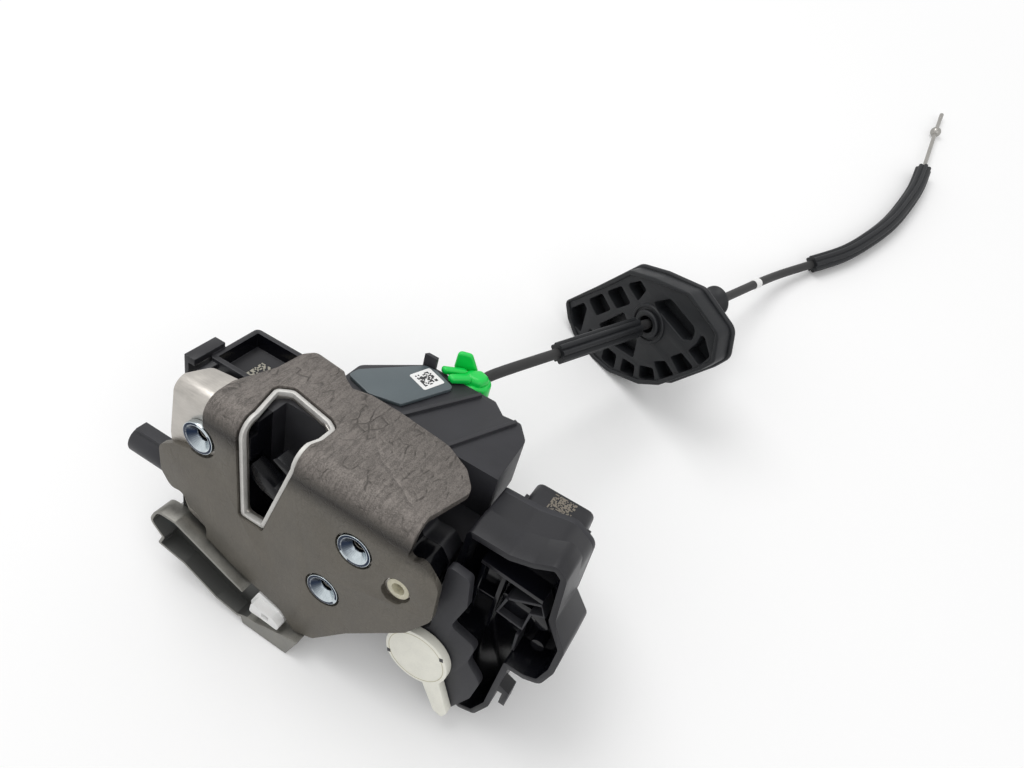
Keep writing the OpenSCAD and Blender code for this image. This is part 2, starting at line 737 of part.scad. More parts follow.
// Smooth cover in front of the levers, beside the shut plate
module lever_cover() {
  color(c_black) laid() {
    upright(skirt_y - 3.4, skirt_y) outline([
      [30.3, 9, 2], [39, 8, 2], [41, -5, 3], [37.5, -19, 2], [48.5, -22, 3], [47.5, -32, 3], [54.5, -39, 5],
      [53, -51, 3], [46.5, -66, 2], [39.5, -58, 3], [24, -50, 5], [20, -38, 5], [30.3, -26, 2]
    ]);
    bar(key_at, 10, key_y + key_t, skirt_y - 3);
    bar(key_at, 5, key_y + 1.2, skirt_y - 3);
  }
}

// Cover that closes the room from behind
module rear_cover() {
  color(c_black) laid() difference() {
    upright(room_back, cover_y) outline(body);
    for (at = screw_at) bar(at, 3.2, room_back - 1, cover_y + 1);
  }
}

module cover_screws() {
  color(c_zinc) laid() for (at = screw_at) difference() {
    union() {
      bar(at, 6, cover_y, cover_y + 2);
      bar(at, 2.6, room_back - 8, cover_y + eps);
    }
    bar(at, 2.2, cover_y + 0.8, cover_y + 3);
  }
}

module connector_shell() {
  x0 = connector_x - connector_w / 2;
  x1 = connector_x + connector_w / 2;
  z0 = connector_top - connector_h;
  shell = [[x0, z0, 1.5], [x1, z0, 1.5], [x1, connector_top, 3], [x0, connector_top, 3]];
  color(c_black) laid() {
    difference() {
      upright(cover_y, cover_y + connector_len) outline(shell);
      upright(cover_y + 2, cover_y + connector_len + 1) outline(inset(shell, 1.6));
    }
    for (x = [x0 - 1.6, x1 - eps])
      upright(cover_y, cover_y + 8) translate([x, connector_top - 7]) square([1.6 + eps, 3]);
  }
}

module connector_pins() {
  z0 = connector_top - connector_h;
  color(c_zinc) laid() for (i = [0:pin_count - 1], z = [z0 + connector_h * 0.35, z0 + connector_h * 0.68])
    translate([connector_x + (i - (pin_count - 1) / 2) * 3.6 - 0.4, cover_y + 2, z - 0.4]) cube([0.8, 6, 0.8]);
}

// Motor can with flats, lying along X
module lock_motor() {
  color(c_zinc) laid() translate([motor_x, motor_y, worm_z]) difference() {
    union() {
      intersection() {
        rotate([0, 90, 0]) cylinder(h = motor_len, d = motor_d);
        translate([-1, -motor_flat / 2, -motor_d]) cube([motor_len + 2, motor_flat, 2 * motor_d]);
      }
      translate([motor_len - eps, 0, 0]) rotate([0, 90, 0]) cylinder(h = 2, d = 6);
    }
    translate([-1, 0, 0]) rotate([0, 90, 0]) cylinder(h = 9, d = 2 + 2 * run_gap);
  }
}

// Single start thread of trapezoid section, swept round the worm's axis
function worm_ring(i, n, pitch) =
  let (
    a = 360 * i / n, x = pitch * i / n, ri = worm_r - gear_m, ro = worm_r + gear_m * 0.8,
    b = pitch * 0.21, t = pitch * 0.09
  ) [
    [x - b, ri * cos(a), ri * sin(a)], [x - t, ro * cos(a), ro * sin(a)],
    [x + t, ro * cos(a), ro * sin(a)], [x + b, ri * cos(a), ri * sin(a)]
  ];

module motor_worm() {
  pitch = PI * gear_m;
  n = 20;
  k = n * 3.5;
  color(c_zinc) laid() translate([wheel_at[0], motor_y, worm_z]) {
    translate([-7.5, 0, 0]) rotate([0, 90, 0]) cylinder(h = 15, r = worm_r - gear_m + 0.05);
    translate([-7.6, 0, 0]) rotate([0, 90, 0]) cylinder(h = 26, d = 2);
    translate([-pitch * 1.75, 0, 0]) polyhedron(
      points = [for (i = [0:k]) each worm_ring(i, n, pitch)],
      faces = concat(
        [[3, 2, 1, 0]],
        [for (i = [0:k - 1], j = [0:3]) let (m = (j + 1) % 4) [4 * i + m, 4 * i + 4 + m, 4 * i + 4 + j, 4 * i + j]],
        [[4 * k, 4 * k + 1, 4 * k + 2, 4 * k + 3]]
      )
    );
  }
}

module worm_wheel() {
  m = gear_m;
  p = 360 / wheel_teeth;
  ro = wheel_r + 0.8 * m;
  ri = wheel_r - 1.15 * m;
  color(c_white) laid() difference() {
    union() {
      upright(motor_y - wheel_w / 2, motor_y + wheel_w / 2) translate(wheel_at) polygon([
        for (i = [0:wheel_teeth - 1])
          let (a = -90 + i * p)
          each [
            ri * [cos(a - p * 0.26), sin(a - p * 0.26)], ro * [cos(a - p * 0.10), sin(a - p * 0.10)],
            ro * [cos(a + p * 0.10), sin(a + p * 0.10)], ri * [cos(a + p * 0.26), sin(a + p * 0.26)]
          ]
      ]);
      bar(wheel_at - [crank_r, 0], crank_d, lock_y + 0.3, motor_y);
    }
    bar(wheel_at, crank_d + 2 * run_gap, 0, 80);
  }
}

module wheel_pin() {
  color(c_zinc) laid() bar(wheel_at, crank_d, room_y - 0.5, room_back);
}

// Lever moved by the wheel's crank; its fork rides on the crank
module lock_lever() {
  tip = wheel_at[0] - crank_r + 2.8;
  x = lock_at[0];
  z = lock_at[1];
  color(c_white) laid() difference() {
    upright(lock_y, lock_y + 2.4) outline([
      [x - 5, z - 5, 3], [tip, z - 5, 1], [tip, z + 5, 1], [x - 5, z + 5, 3]
    ]);
    bar(lock_at, crank_d + 2 * run_gap, 0, 80);
    upright(lock_y - 1, lock_y + 4) translate([tip - 6.6, z - 2.7]) square([8, 5.4]);
  }
}

// White disc and arm that the lock cylinder turns
module key_lever() {
  color(c_white) laid() difference() {
    union() {
      bar(key_at, key_disc_d, key_y, key_y + key_t);
      upright(key_y, key_y + key_t) outline([
        [key_at[0] + 4, key_at[1] - 10], [key_at[0] + 11, key_at[1] - 6], [48, -62, 1.5], [46.5, -66, 1], [42.5, -65, 1]
      ]);
    }
    bar(key_at, 5 + 2 * run_gap, key_y + 1.1, 30);
  }
}

// Pressed steel channel below the shut plate, with raised edges and a folded end tab
lever_rim = [
  [-87, -42.5, 5], [-77, -42, 2], [-64, -47.5, 3], [-50, -53.5, 2], [-37, -58.5, 2], [-32, -70.2, 1],
  [-42, -73.5, 1], [-45, -75, 1], [-56, -73, 3], [-73, -65, 3], [-87, -62.5, 1], [-84.5, -57, 1], [-91, -51, 4]
];

module outside_lever() {
  front = backing_y - lever_h;
  color(c_zinc) laid() difference() {
    union() {
      difference() {
        upright(front, backing_y) outline(lever_rim);
        upright(front - 1, backing_y - lever_t) outline(inset(lever_rim, lever_t));
        upright(front - 1, backing_y - lever_t) polygon([[-47, -50], [-30, -50], [-30, -71.5], [-40, -71.5], [-43, -57]]);
      }
      upright(front, backing_y) polygon([[-43, -73.6], [-15, -65.6], [-15.3, -66.8], [-42.8, -75]]);
      upright(front, front + lever_t) polygon([[-43, -74], [-15, -66], [-20, -78], [-42, -77.5]]);
    }
    bar(lever_at, 5 + 2 * run_gap, front - 1, backing_y + 1);
  }
}

module lever_rivet() {
  web = backing_y - lever_t;
  color(c_zinc) laid() {
    bar(lever_at, 8.4, web - 1.4, web);
    bar(lever_at, 5, web - eps, 14);
  }
}

// White clip for the outside handle's rod, seated in the channel
module rod_clip() {
  web = backing_y - lever_t;
  color(c_white) laid() difference() {
    union() {
      upright(0.3, web) outline([
        [-41.5, -66, 1], [-38, -57.4, 1], [-28, -60.4, 2], [-25.4, -63.2, 2], [-25.4, -67.4, 1], [-41, -71.8, 1]
      ]);
      upright(-3.4, 0.3 + eps) outline([
        [-39.2, -66.6, 1], [-38.4, -60.9, 1], [-28, -61.4, 1.5], [-24.4, -64.2, 1], [-25.2, -67, 1], [-33, -66.4, 1]
      ]);
    }
    upright(-4, 1.5) polygon([[-33, -62.4], [-29.6, -62.8], [-29.8, -65.2], [-33.2, -64.9]]);
  }
}

// Green clip that locks the cable in the housing's rear edge
module cable_clip() {
  color(c_green) laid() difference() {
    union() {
      level(12, 24.5) outline([[-14, release_back], [-1, release_back], [2, 84, 2], [-3, 88, 2], [-13, 82, 2]]);
      level(22.6, 26) outline([[-19.5, 74, 1], [-8.5, 70.2, 1], [-3, release_back + 1, 1], [-13, release_back + 2, 1]]);
      level(24, 30) outline([[-18, 80, 1], [-8, 84, 1], [-9, 86, 1], [-18, 83, 1]]);
    }
    rod(guide_at + 8 * wire_dir + [0, 0, 0.6], guide_at + 26 * wire_dir + [0, 0, 5.5], conduit_d + 2);
  }
}

// Cable, in bench axes
path_near = [
  for (p = [guide_at, guide_at + [3, 6.3, 1.2], guide_at + [5.8, 12.6, 3.6], guide_at + [8, 19.4, 6.2]])
    on_bench(p)
];
exit_at = on_bench([-2.3, 91.75, 21]);
bore_at = [35, 169, 40.5];
neck_at = [56, 214, 26.5];
sleeve_at = [89, 290, 5.4];
path_far = [
  sleeve_at, [102, 309, 5.2], [111, 329, 5.2], [117.5, 349, 5.2], [121, 369, 5.2], [123, 390, 5.2],
  [122.5, 410, 5.2]
];
wire_ball = [120, 456, 3.6];
wire_out = unit(wire_ball - path_far[6]);
path_mid = [
  exit_at, 0.5 * (exit_at + bore_at), bore_at, 0.5 * (bore_at + neck_at), neck_at, [68, 248, 15],
  [76.5, 269, 8.5]
];

module conduit() {
  color(c_rubber) difference() {
    bench() sweep(smooth(concat(path_near, path_mid, [sleeve_at]), 3), round_section(conduit_d / 2, 10));
    laid() rod(guide_at - wire_dir, guide_at + 3.6 * wire_dir, 2.6);
  }
}

near_a = exit_at + 33 * unit(bore_at - exit_at);
near_b = exit_at + 80 * unit(bore_at - exit_at);

module near_sleeve() {
  out = unit(near_b - near_a);
  color(c_rubber) bench() difference() {
    rod(near_a, near_b, sleeve_d);
    rod(near_a - out, near_b + out, conduit_d + 0.1);
  }
}

module far_sleeve() {
  color(c_rubber) bench() difference() {
    sweep(smooth(path_far, 2), fluted_section(sleeve_d / 2, 9));
    rod(path_far[6] - 16 * wire_out, path_far[6] + wire_out, wire_d + 0.8);
  }
}

// Grommet, drawn in its own plane: z towards the lock, zero at the bore
grommet_out = [
  [-48, -29.5, 3], [-42, -36.5, 4], [-34, -41, 4], [-17, -42, 5], [-6, -40, 6], [12, -30, 6], [21.5, -20.5, 4],
  [34.5, 4, 6], [38, 13, 5], [32.4, 25.3, 5], [11, 29.5, 6], [-8.5, 21.6, 5], [-22, 14.4, 6], [-31.6, -2.3, 6]
];
module across() translate(bore_at) rotate([0, 0, -24.8]) rotate([74.4, 0, 0]) children();

module grommet() {
  color(c_rubber) bench() difference() {
    across() difference() {
      union() {
        translate([0, 0, -9]) linear_extrude(9) outline(grommet_out);
        translate([0, 0, -10.5]) linear_extrude(3) outline(inset(grommet_out, -1.5));
      }
      translate([0, 0, -8]) linear_extrude(10) difference() {
        outline(inset(grommet_out, 2));
        translate([0, -2.6]) circle(r = 12);
        for (a = [20:40:340]) rotate(a) translate([10, -0.8]) square([60, 1.6]);
      }
      translate([0, 0, -12]) cylinder(h = 14, d = conduit_d + 0.1);
    }
    translate([-50, 100, -20]) cube([160, 120, 20]);
  }
}

module grommet_neck() {
  run = norm(neck_at - bore_at);
  color(c_rubber) bench() difference() {
    union() {
      across() translate([0, 0, -run]) cylinder(h = run - 10.5, d = neck_d);
      across() translate([0, 0, -run]) cylinder(h = 3.5, d = neck_d + 3.5);
    }
    across() translate([0, 0, -run - 1]) cylinder(h = run, d = conduit_d + 0.1);
  }
}

module marker_band() {
  at = [68, 248, 15];
  along = unit([76.5, 269, 8.5] - neck_at);
  color(c_white) bench() difference() {
    rod(at - 2.5 * along, at + 2.5 * along, conduit_d + 0.7);
    rod(at - 4 * along, at + 4 * along, conduit_d + 0.1);
  }
}

// Rod end of the inner wire with its ball and nib
module inner_wire() {
  start = path_far[6] - 11 * wire_out;
  ball = wire_ball;
  tip = [119, 477, 3.4];
  color(c_zinc) bench() {
    rod(start, ball, wire_d);
    translate(ball) sphere(d = ball_d);
    rod(ball, tip, wire_d * 0.8);
    translate(tip) sphere(d = wire_d * 1.2);
  }
}

shut_plate();
backing_plate();
threaded_inserts();
release_pin();
claw_pin();
claw();
pawl();
pawl_lever();
claw_spring();
pawl_spring();
striker_buffer();
latch_housing();
latch_rear();
back_plate();
end_cap();
side_knob();
release_housing();
label_plate();
inside_lever();
inside_lever_pin();
near_wire();
wire_guide();
actuator_housing();
lever_cover();
rear_cover();
cover_screws();
connector_shell();
connector_pins();
lock_motor();
motor_worm();
worm_wheel();
wheel_pin();
lock_lever();
key_lever();
outside_lever();
lever_rivet();
rod_clip();
cable_clip();
conduit();
near_sleeve();
grommet();
grommet_neck();
marker_band();
far_sleeve();
inner_wire();
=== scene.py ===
import json
import math

import bmesh
import bpy
from mathutils import Matrix, Vector
from mathutils.bvhtree import BVHTree


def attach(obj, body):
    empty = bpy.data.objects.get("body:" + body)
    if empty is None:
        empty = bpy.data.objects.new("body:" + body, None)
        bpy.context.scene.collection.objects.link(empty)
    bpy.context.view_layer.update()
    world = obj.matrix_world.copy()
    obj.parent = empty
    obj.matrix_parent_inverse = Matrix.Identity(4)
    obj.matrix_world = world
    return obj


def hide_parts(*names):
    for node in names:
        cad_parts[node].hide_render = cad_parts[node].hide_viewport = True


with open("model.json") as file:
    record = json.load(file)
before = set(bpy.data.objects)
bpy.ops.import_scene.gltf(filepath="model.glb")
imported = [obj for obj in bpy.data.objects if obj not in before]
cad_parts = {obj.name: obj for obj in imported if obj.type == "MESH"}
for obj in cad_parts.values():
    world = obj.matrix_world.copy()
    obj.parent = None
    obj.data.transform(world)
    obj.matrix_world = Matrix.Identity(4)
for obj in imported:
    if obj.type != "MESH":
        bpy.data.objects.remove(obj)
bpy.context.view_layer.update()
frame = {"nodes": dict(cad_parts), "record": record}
record = frame["record"]
bodyOf = {node: body for body, nodes in record["behaviour"]["bodies"].items() for node in nodes}
mm = 0.001


def turnBy(degrees, axis):
    return Matrix.Rotation(math.radians(degrees), 4, axis)


def shiftTo(place):
    return Matrix.Translation(Vector(place) * mm)


def linked(name, data):
    thing = bpy.data.objects.new(name, data)
    bpy.context.scene.collection.objects.link(thing)
    return thing


# Where the lock lies on the bench, as in the part's source
lockPlace = {"rake": 20, "shift": (17.25, -30.45), "lift": 72.64}


def lockPoint(x, y, z):
    turn = math.radians(lockPlace["rake"])
    return Vector((
        x + lockPlace["shift"][0],
        y * math.cos(turn) + z * math.sin(turn) + lockPlace["shift"][1],
        z * math.cos(turn) - y * math.sin(turn) + lockPlace["lift"],
    )) * mm


def benchPoint(x, y, z):
    return Vector((x + lockPlace["shift"][0], y + lockPlace["shift"][1], z)) * mm


lockMatrix = Matrix.Translation(lockPoint(0, 0, 0)) @ turnBy(-lockPlace["rake"], "X")

print("stage: camera")
cameraLook = {
    "place": (0.09775, -0.09255, 0.31984),
    "right": (0.8531, 0.5181, 0.0654),
    "up": (-0.4643, 0.6944, 0.5503),
    "lens": 27.13,
}


def makeCamera(look):
    data = bpy.data.cameras.new("camera")
    data.lens = look["lens"]
    data.sensor_width = 36
    data.clip_start = 0.01
    right = Vector(look["right"]).normalized()
    up = (Vector(look["up"]) - right * right.dot(Vector(look["up"]))).normalized()
    back = right.cross(up)
    turn = Matrix((right, up, back)).transposed().to_4x4()
    camera = linked("camera", data)
    camera.matrix_world = Matrix.Translation(look["place"]) @ turn
    bpy.context.scene.camera = camera


makeCamera(cameraLook)


# Node helpers shared by the trees and the materials
def addNode(tree, kind, values=None, **settings):
    node = tree.nodes.new(kind)
    for key, value in settings.items():
        setattr(node, key, value)
    for key, value in (values or {}).items():
        if isinstance(value, bpy.types.NodeSocket):
            tree.links.new(value, node.inputs[key])
        else:
            node.inputs[key].default_value = value
    return node


def mathOf(tree, operation, *values):
    return addNode(tree, "ShaderNodeMath", dict(enumerate(values)), operation=operation).outputs[0]


def vectorOf(tree, operation, *values):
    return addNode(
        tree, "ShaderNodeVectorMath", dict(enumerate(values)), operation=operation,
    ).outputs[0]


def distanceTo(tree, place, point):
    return addNode(
        tree, "ShaderNodeVectorMath", {0: place, 1: tuple(point)}, operation="DISTANCE",
    ).outputs["Value"]


def newTree(name, inputs):
    tree = bpy.data.node_groups.new(name, "GeometryNodeTree")
    tree.interface.new_socket("Geometry", in_out="INPUT", socket_type="NodeSocketGeometry")
    for label, kind in inputs.items():
        tree.interface.new_socket(label, in_out="INPUT", socket_type="NodeSocket" + kind)
    tree.interface.new_socket("Geometry", in_out="OUTPUT", socket_type="NodeSocketGeometry")
    return tree, tree.nodes.new("NodeGroupInput").outputs


def endTree(tree, geometry, material):
    real = addNode(tree, "GeometryNodeRealizeInstances", {0: geometry})
    painted = addNode(tree, "GeometryNodeSetMaterial", {
        0: real.outputs[0], "Material": material,
    })
    tree.links.new(painted.outputs[0], tree.nodes.new("NodeGroupOutput").inputs[0])


# The finished mesh of an object, which is then removed
def takeMesh(host, keepLayers=False):
    bpy.context.view_layer.update()
    graph = bpy.context.evaluated_depsgraph_get()
    made = bpy.data.meshes.new_from_object(
        host.evaluated_get(graph), preserve_all_data_layers=keepLayers, depsgraph=graph,
    )
    bpy.data.objects.remove(host)
    return made


def grown(mesh, tree, values):
    host = linked("host", mesh)
    modifier = host.modifiers.new("build", "NODES")
    modifier.node_group = tree
    for item in tree.interface.items_tree:
        if item.in_out == "INPUT" and item.name in values:
            modifier[item.identifier] = values[item.name]
    return takeMesh(host, keepLayers=True)


print("stage: materials")


# Noise of a feature size in millimetres, on the lock's own axes
def grain(tree, place, size, detail=4, rough=0.6, stretch=(1, 1, 1)):
    turned = addNode(tree, "ShaderNodeMapping", {"Vector": place, "Scale": stretch})
    noise = addNode(tree, "ShaderNodeTexNoise", {
        "Vector": turned.outputs[0], "Scale": 1 / (size * mm), "Detail": detail, "Roughness": rough,
    })
    return noise.outputs[0]


def lockAxes(tree):
    place = addNode(tree, "ShaderNodeTexCoord").outputs["Object"]
    turn = (math.radians(lockPlace["rake"]), 0, 0)
    centred = vectorOf(tree, "SUBTRACT", place, tuple(lockPoint(0, 0, 0)))
    return addNode(tree, "ShaderNodeMapping", {"Vector": centred, "Rotation": turn}).outputs[0]


def spread(tree, value, low, high, outLow, outHigh):
    return addNode(tree, "ShaderNodeMapRange", {
        "Value": value, "From Min": low, "From Max": high, "To Min": outLow, "To Max": outHigh,
    }).outputs[0]


# Two values added up, the first with its share
def mixOf(tree, first, second, share):
    return mathOf(
        tree, "ADD", mathOf(tree, "MULTIPLY", first, share),
        mathOf(tree, "MULTIPLY", second, round(1 - share, 2)),
    )


# The Mix node's colours are its inputs 6 and 7 and its output 2
def tinted(tree, share, first, second):
    mix = addNode(tree, "ShaderNodeMix", {0: share}, data_type="RGBA")
    for socket, value in ((mix.inputs[6], first), (mix.inputs[7], second)):
        if isinstance(value, bpy.types.NodeSocket):
            tree.links.new(value, socket)
        else:
            socket.default_value = (*value, 1)
    return mix.outputs[2]


def bumped(tree, height, strength, depth, below=None):
    values = {"Height": height, "Strength": strength, "Distance": depth * mm}
    if below is not None:
        values["Normal"] = below
    return addNode(tree, "ShaderNodeBump", values).outputs[0]


# Where noise has most of its values
noiseRange = (0.35, 0.65)


# A surface with mottled colour and roughness, two sizes of relief, and worn edges whose colour is
# partly painted edge highlight and shade
def surface(name, look):
    material = bpy.data.materials.new(name)
    material.use_nodes = True
    tree = material.node_tree
    shader = tree.nodes["Principled BSDF"]
    place = lockAxes(tree)
    stretch = look.get("stretch", (1, 1, 1))
    broad = grain(tree, place, look.get("mottle", 9), 5, 0.6)
    fine = grain(tree, place, look.get("grain", 0.35), 3, 0.6, stretch)
    shift = look.get("spread", 0.15)
    dark = [c * (1 - shift) for c in look["colour"]]
    light = [min(1, c * (1 + shift)) for c in look["colour"]]
    mixed = mixOf(tree, broad, fine, 0.6)
    colour = tinted(tree, spread(tree, mixed, *noiseRange, 0, 1), dark, light)
    roughness = spread(tree, mixed, *noiseRange, *look["roughness"])
    # edge colour: partly wear, partly a painted highlight along the rounded edges
    wear = addNode(tree, "ShaderNodeAttribute", attribute_name="edgeWearAndHighlight").outputs["Fac"]
    chips = spread(tree, grain(tree, place, look.get("chips", 1.4), 4), 0.42, 0.62, 0.15, 1)
    chipped = mathOf(tree, "MULTIPLY", wear, chips)
    wornAndLit = mathOf(tree, "MULTIPLY", chipped, look.get("wear", 0.4))
    edge = look.get("edge", [min(1, c * 1.8 + 0.02) for c in look["colour"]])
    # painted shade: faces marked inside hollows take the darker, glossier inner colour
    if look.get("inner"):
        inner = addNode(tree, "ShaderNodeAttribute", attribute_name="inner").outputs["Fac"]
        colour = tinted(tree, inner, colour, look["inner"])
        roughness = addNode(tree, "ShaderNodeMix", {
            0: inner, 2: roughness, 3: look["innerRough"],
        }).outputs[0]
    if look.get("bend"):
        # painted shade along the fold and painted light on the flange above it
        colour = paintedBendShade(tree, place, look["bend"], colour)
    relief = bumped(tree, fine, look.get("fineBump", 0.3), look.get("fineDepth", 0.03))
    relief = bumped(
        tree, broad, look.get("broadBump", 0.15), look.get("broadDepth", 0.25), relief,
    )
    if look.get("wrinkle"):
        relief, shade = wrinkles(tree, place, look["wrinkle"], relief)
        # painted shade in the cracks and low spots of the fold
        colour = tinted(tree, shade, colour, look["wrinkle"]["shade"])
    tree.links.new(tinted(tree, wornAndLit, colour, edge), shader.inputs["Base Color"])
    tree.links.new(roughness, shader.inputs["Roughness"])
    tree.links.new(relief, shader.inputs["Normal"])
    shader.inputs["Metallic"].default_value = look.get("metal", 0)
    shader.inputs["Specular IOR Level"].default_value = look.get("specular", 0.5)
    return material


# Painted shade darkening the fold, and painted light making the flange paler above it
def paintedBendShade(tree, place, look, colour):
    height = addNode(tree, "ShaderNodeSeparateXYZ", {0: place}).outputs["Z"]
    rise = spread(tree, height, look["low"] * mm, look["middle"] * mm, 0, 1)
    fall = spread(tree, height, look["middle"] * mm, look["high"] * mm, 1, 0)
    dark = mathOf(tree, "MULTIPLY", mathOf(tree, "MULTIPLY", rise, fall), look["share"])
    pale = spread(tree, height, look["middle"] * mm, look["high"] * mm, 0, 1)
    return tinted(tree, dark, tinted(tree, pale, colour, look["pale"]), look["dark"])


# Leathery creases and hairline cracks where the sheet was folded, as relief, and as a darker tone
# that is painted shade in the cracks and low spots
def wrinkles(tree, place, look, below):
    height = addNode(tree, "ShaderNodeSeparateXYZ", {0: place}).outputs["Z"]
    folded = spread(tree, height, look["from"] * mm, look["to"] * mm, look["least"], 1)
    warped = shaken(tree, place, look["warpScale"], look["warp"], 3)
    cells = addNode(tree, "ShaderNodeTexVoronoi", {
        "Vector": stretched(tree, warped, look["stretch"]), "Scale": 1 / (look["size"] * mm),
    }, feature="DISTANCE_TO_EDGE").outputs[0]
    crack = spread(tree, cells, 0, look["crackShare"], 1, 0)
    far = distanceTo(tree, place, Vector(look["creasedAt"]) * mm)
    reach = look["creasedReach"] * mm
    creased = spread(tree, far, reach * 0.4, reach, 1, 0)
    patches = spread(tree, grain(tree, place, look["patch"], 3), 0.5, 0.62, 0, 1)
    chosen = mathOf(tree, "MAXIMUM", patches, creased)
    cracked = mathOf(tree, "MULTIPLY", crack, mathOf(tree, "MULTIPLY", folded, chosen))
    leather = addNode(tree, "ShaderNodeTexNoise", {
        "Vector": place, "Scale": 1 / (look["leather"] * mm), "Detail": 4, "Roughness": 0.65,
        "Distortion": 1.6,
    }).outputs[0]
    pressed = addNode(tree, "ShaderNodeTexNoise", {
        "Vector": stretched(tree, place, look["pressedStretch"]),
        "Scale": 1 / (look["pressed"] * mm), "Detail": 3, "Distortion": 0.8,
    }).outputs[0]
    mixed = mixOf(tree, leather, pressed, 0.65)
    skin = mathOf(tree, "MULTIPLY", mixed, folded)
    below = bumped(tree, skin, look["leatherStrength"], look["leatherDepth"], below)
    scars = mathOf(tree, "MINIMUM", *[scarDepth(tree, place, *line) for line in look["scars"]])
    below = bumped(tree, scars, look["scarStrength"], look["scarDepth"], below)
    whole = mathOf(tree, "SUBTRACT", 1, cracked)
    relief = bumped(tree, whole, look["strength"], look["depth"], below)
    # painted shade: darker in the cracks and in the low spots of the leather noise
    pitted = mathOf(tree, "MULTIPLY", folded, look["pits"])
    pits = mathOf(tree, "MULTIPLY", spread(tree, mixed, 0.44, 0.56, 1, 0), pitted)
    return relief, mathOf(tree, "MAXIMUM", pits, mathOf(tree, "MULTIPLY", cracked, 0.8))


def stretched(tree, place, scale):
    return addNode(tree, "ShaderNodeMapping", {"Vector": place, "Scale": scale}).outputs[0]


# A place pushed about by noise, by up to so many millimetres
def shaken(tree, place, scale, reach, detail):
    noise = addNode(tree, "ShaderNodeTexNoise", {"Vector": place, "Scale": scale, "Detail": detail})
    push = addNode(tree, "ShaderNodeVectorMath", {
        0: noise.outputs["Color"], "Scale": reach * mm,
    }, operation="SCALE").outputs[0]
    return vectorOf(tree, "ADD", place, push)


scar = {"shakeScale": 160, "shake": 3, "endShare": 0.4}


# A shallow crease between two points of the flange: 0 on the line, 1 beyond its width
def scarDepth(tree, place, start, end, width):
    flat = vectorOf(tree, "MULTIPLY", place, (1, 1, 0))
    spot = shaken(tree, flat, scar["shakeScale"], scar["shake"], 2)
    middle = Vector((1, 1, 0)) * scar["shake"] / 2
    a = (Vector((*start, 0)) + middle) * mm
    b = (Vector((*end, 0)) + middle) * mm
    run = (b - a).normalized()
    half = (b - a).length / 2
    fromStart = vectorOf(tree, "SUBTRACT", spot, tuple(a))
    across, along = [
        addNode(tree, "ShaderNodeVectorMath", {
            0: fromStart, 1: tuple(way),
        }, operation="DOT_PRODUCT").outputs["Value"]
        for way in (Vector((-run.y, run.x, 0)), run)
    ]
    off = mathOf(tree, "ABSOLUTE", mathOf(tree, "SUBTRACT", along, half))
    past = mathOf(tree, "MAXIMUM", mathOf(tree, "SUBTRACT", off, half), 0)
    reach = mathOf(
        tree, "ADD", mathOf(tree, "ABSOLUTE", across),
        mathOf(tree, "MULTIPLY", past, scar["endShare"]),
    )
    return spread(tree, reach, 0, width * mm, 0, 1)
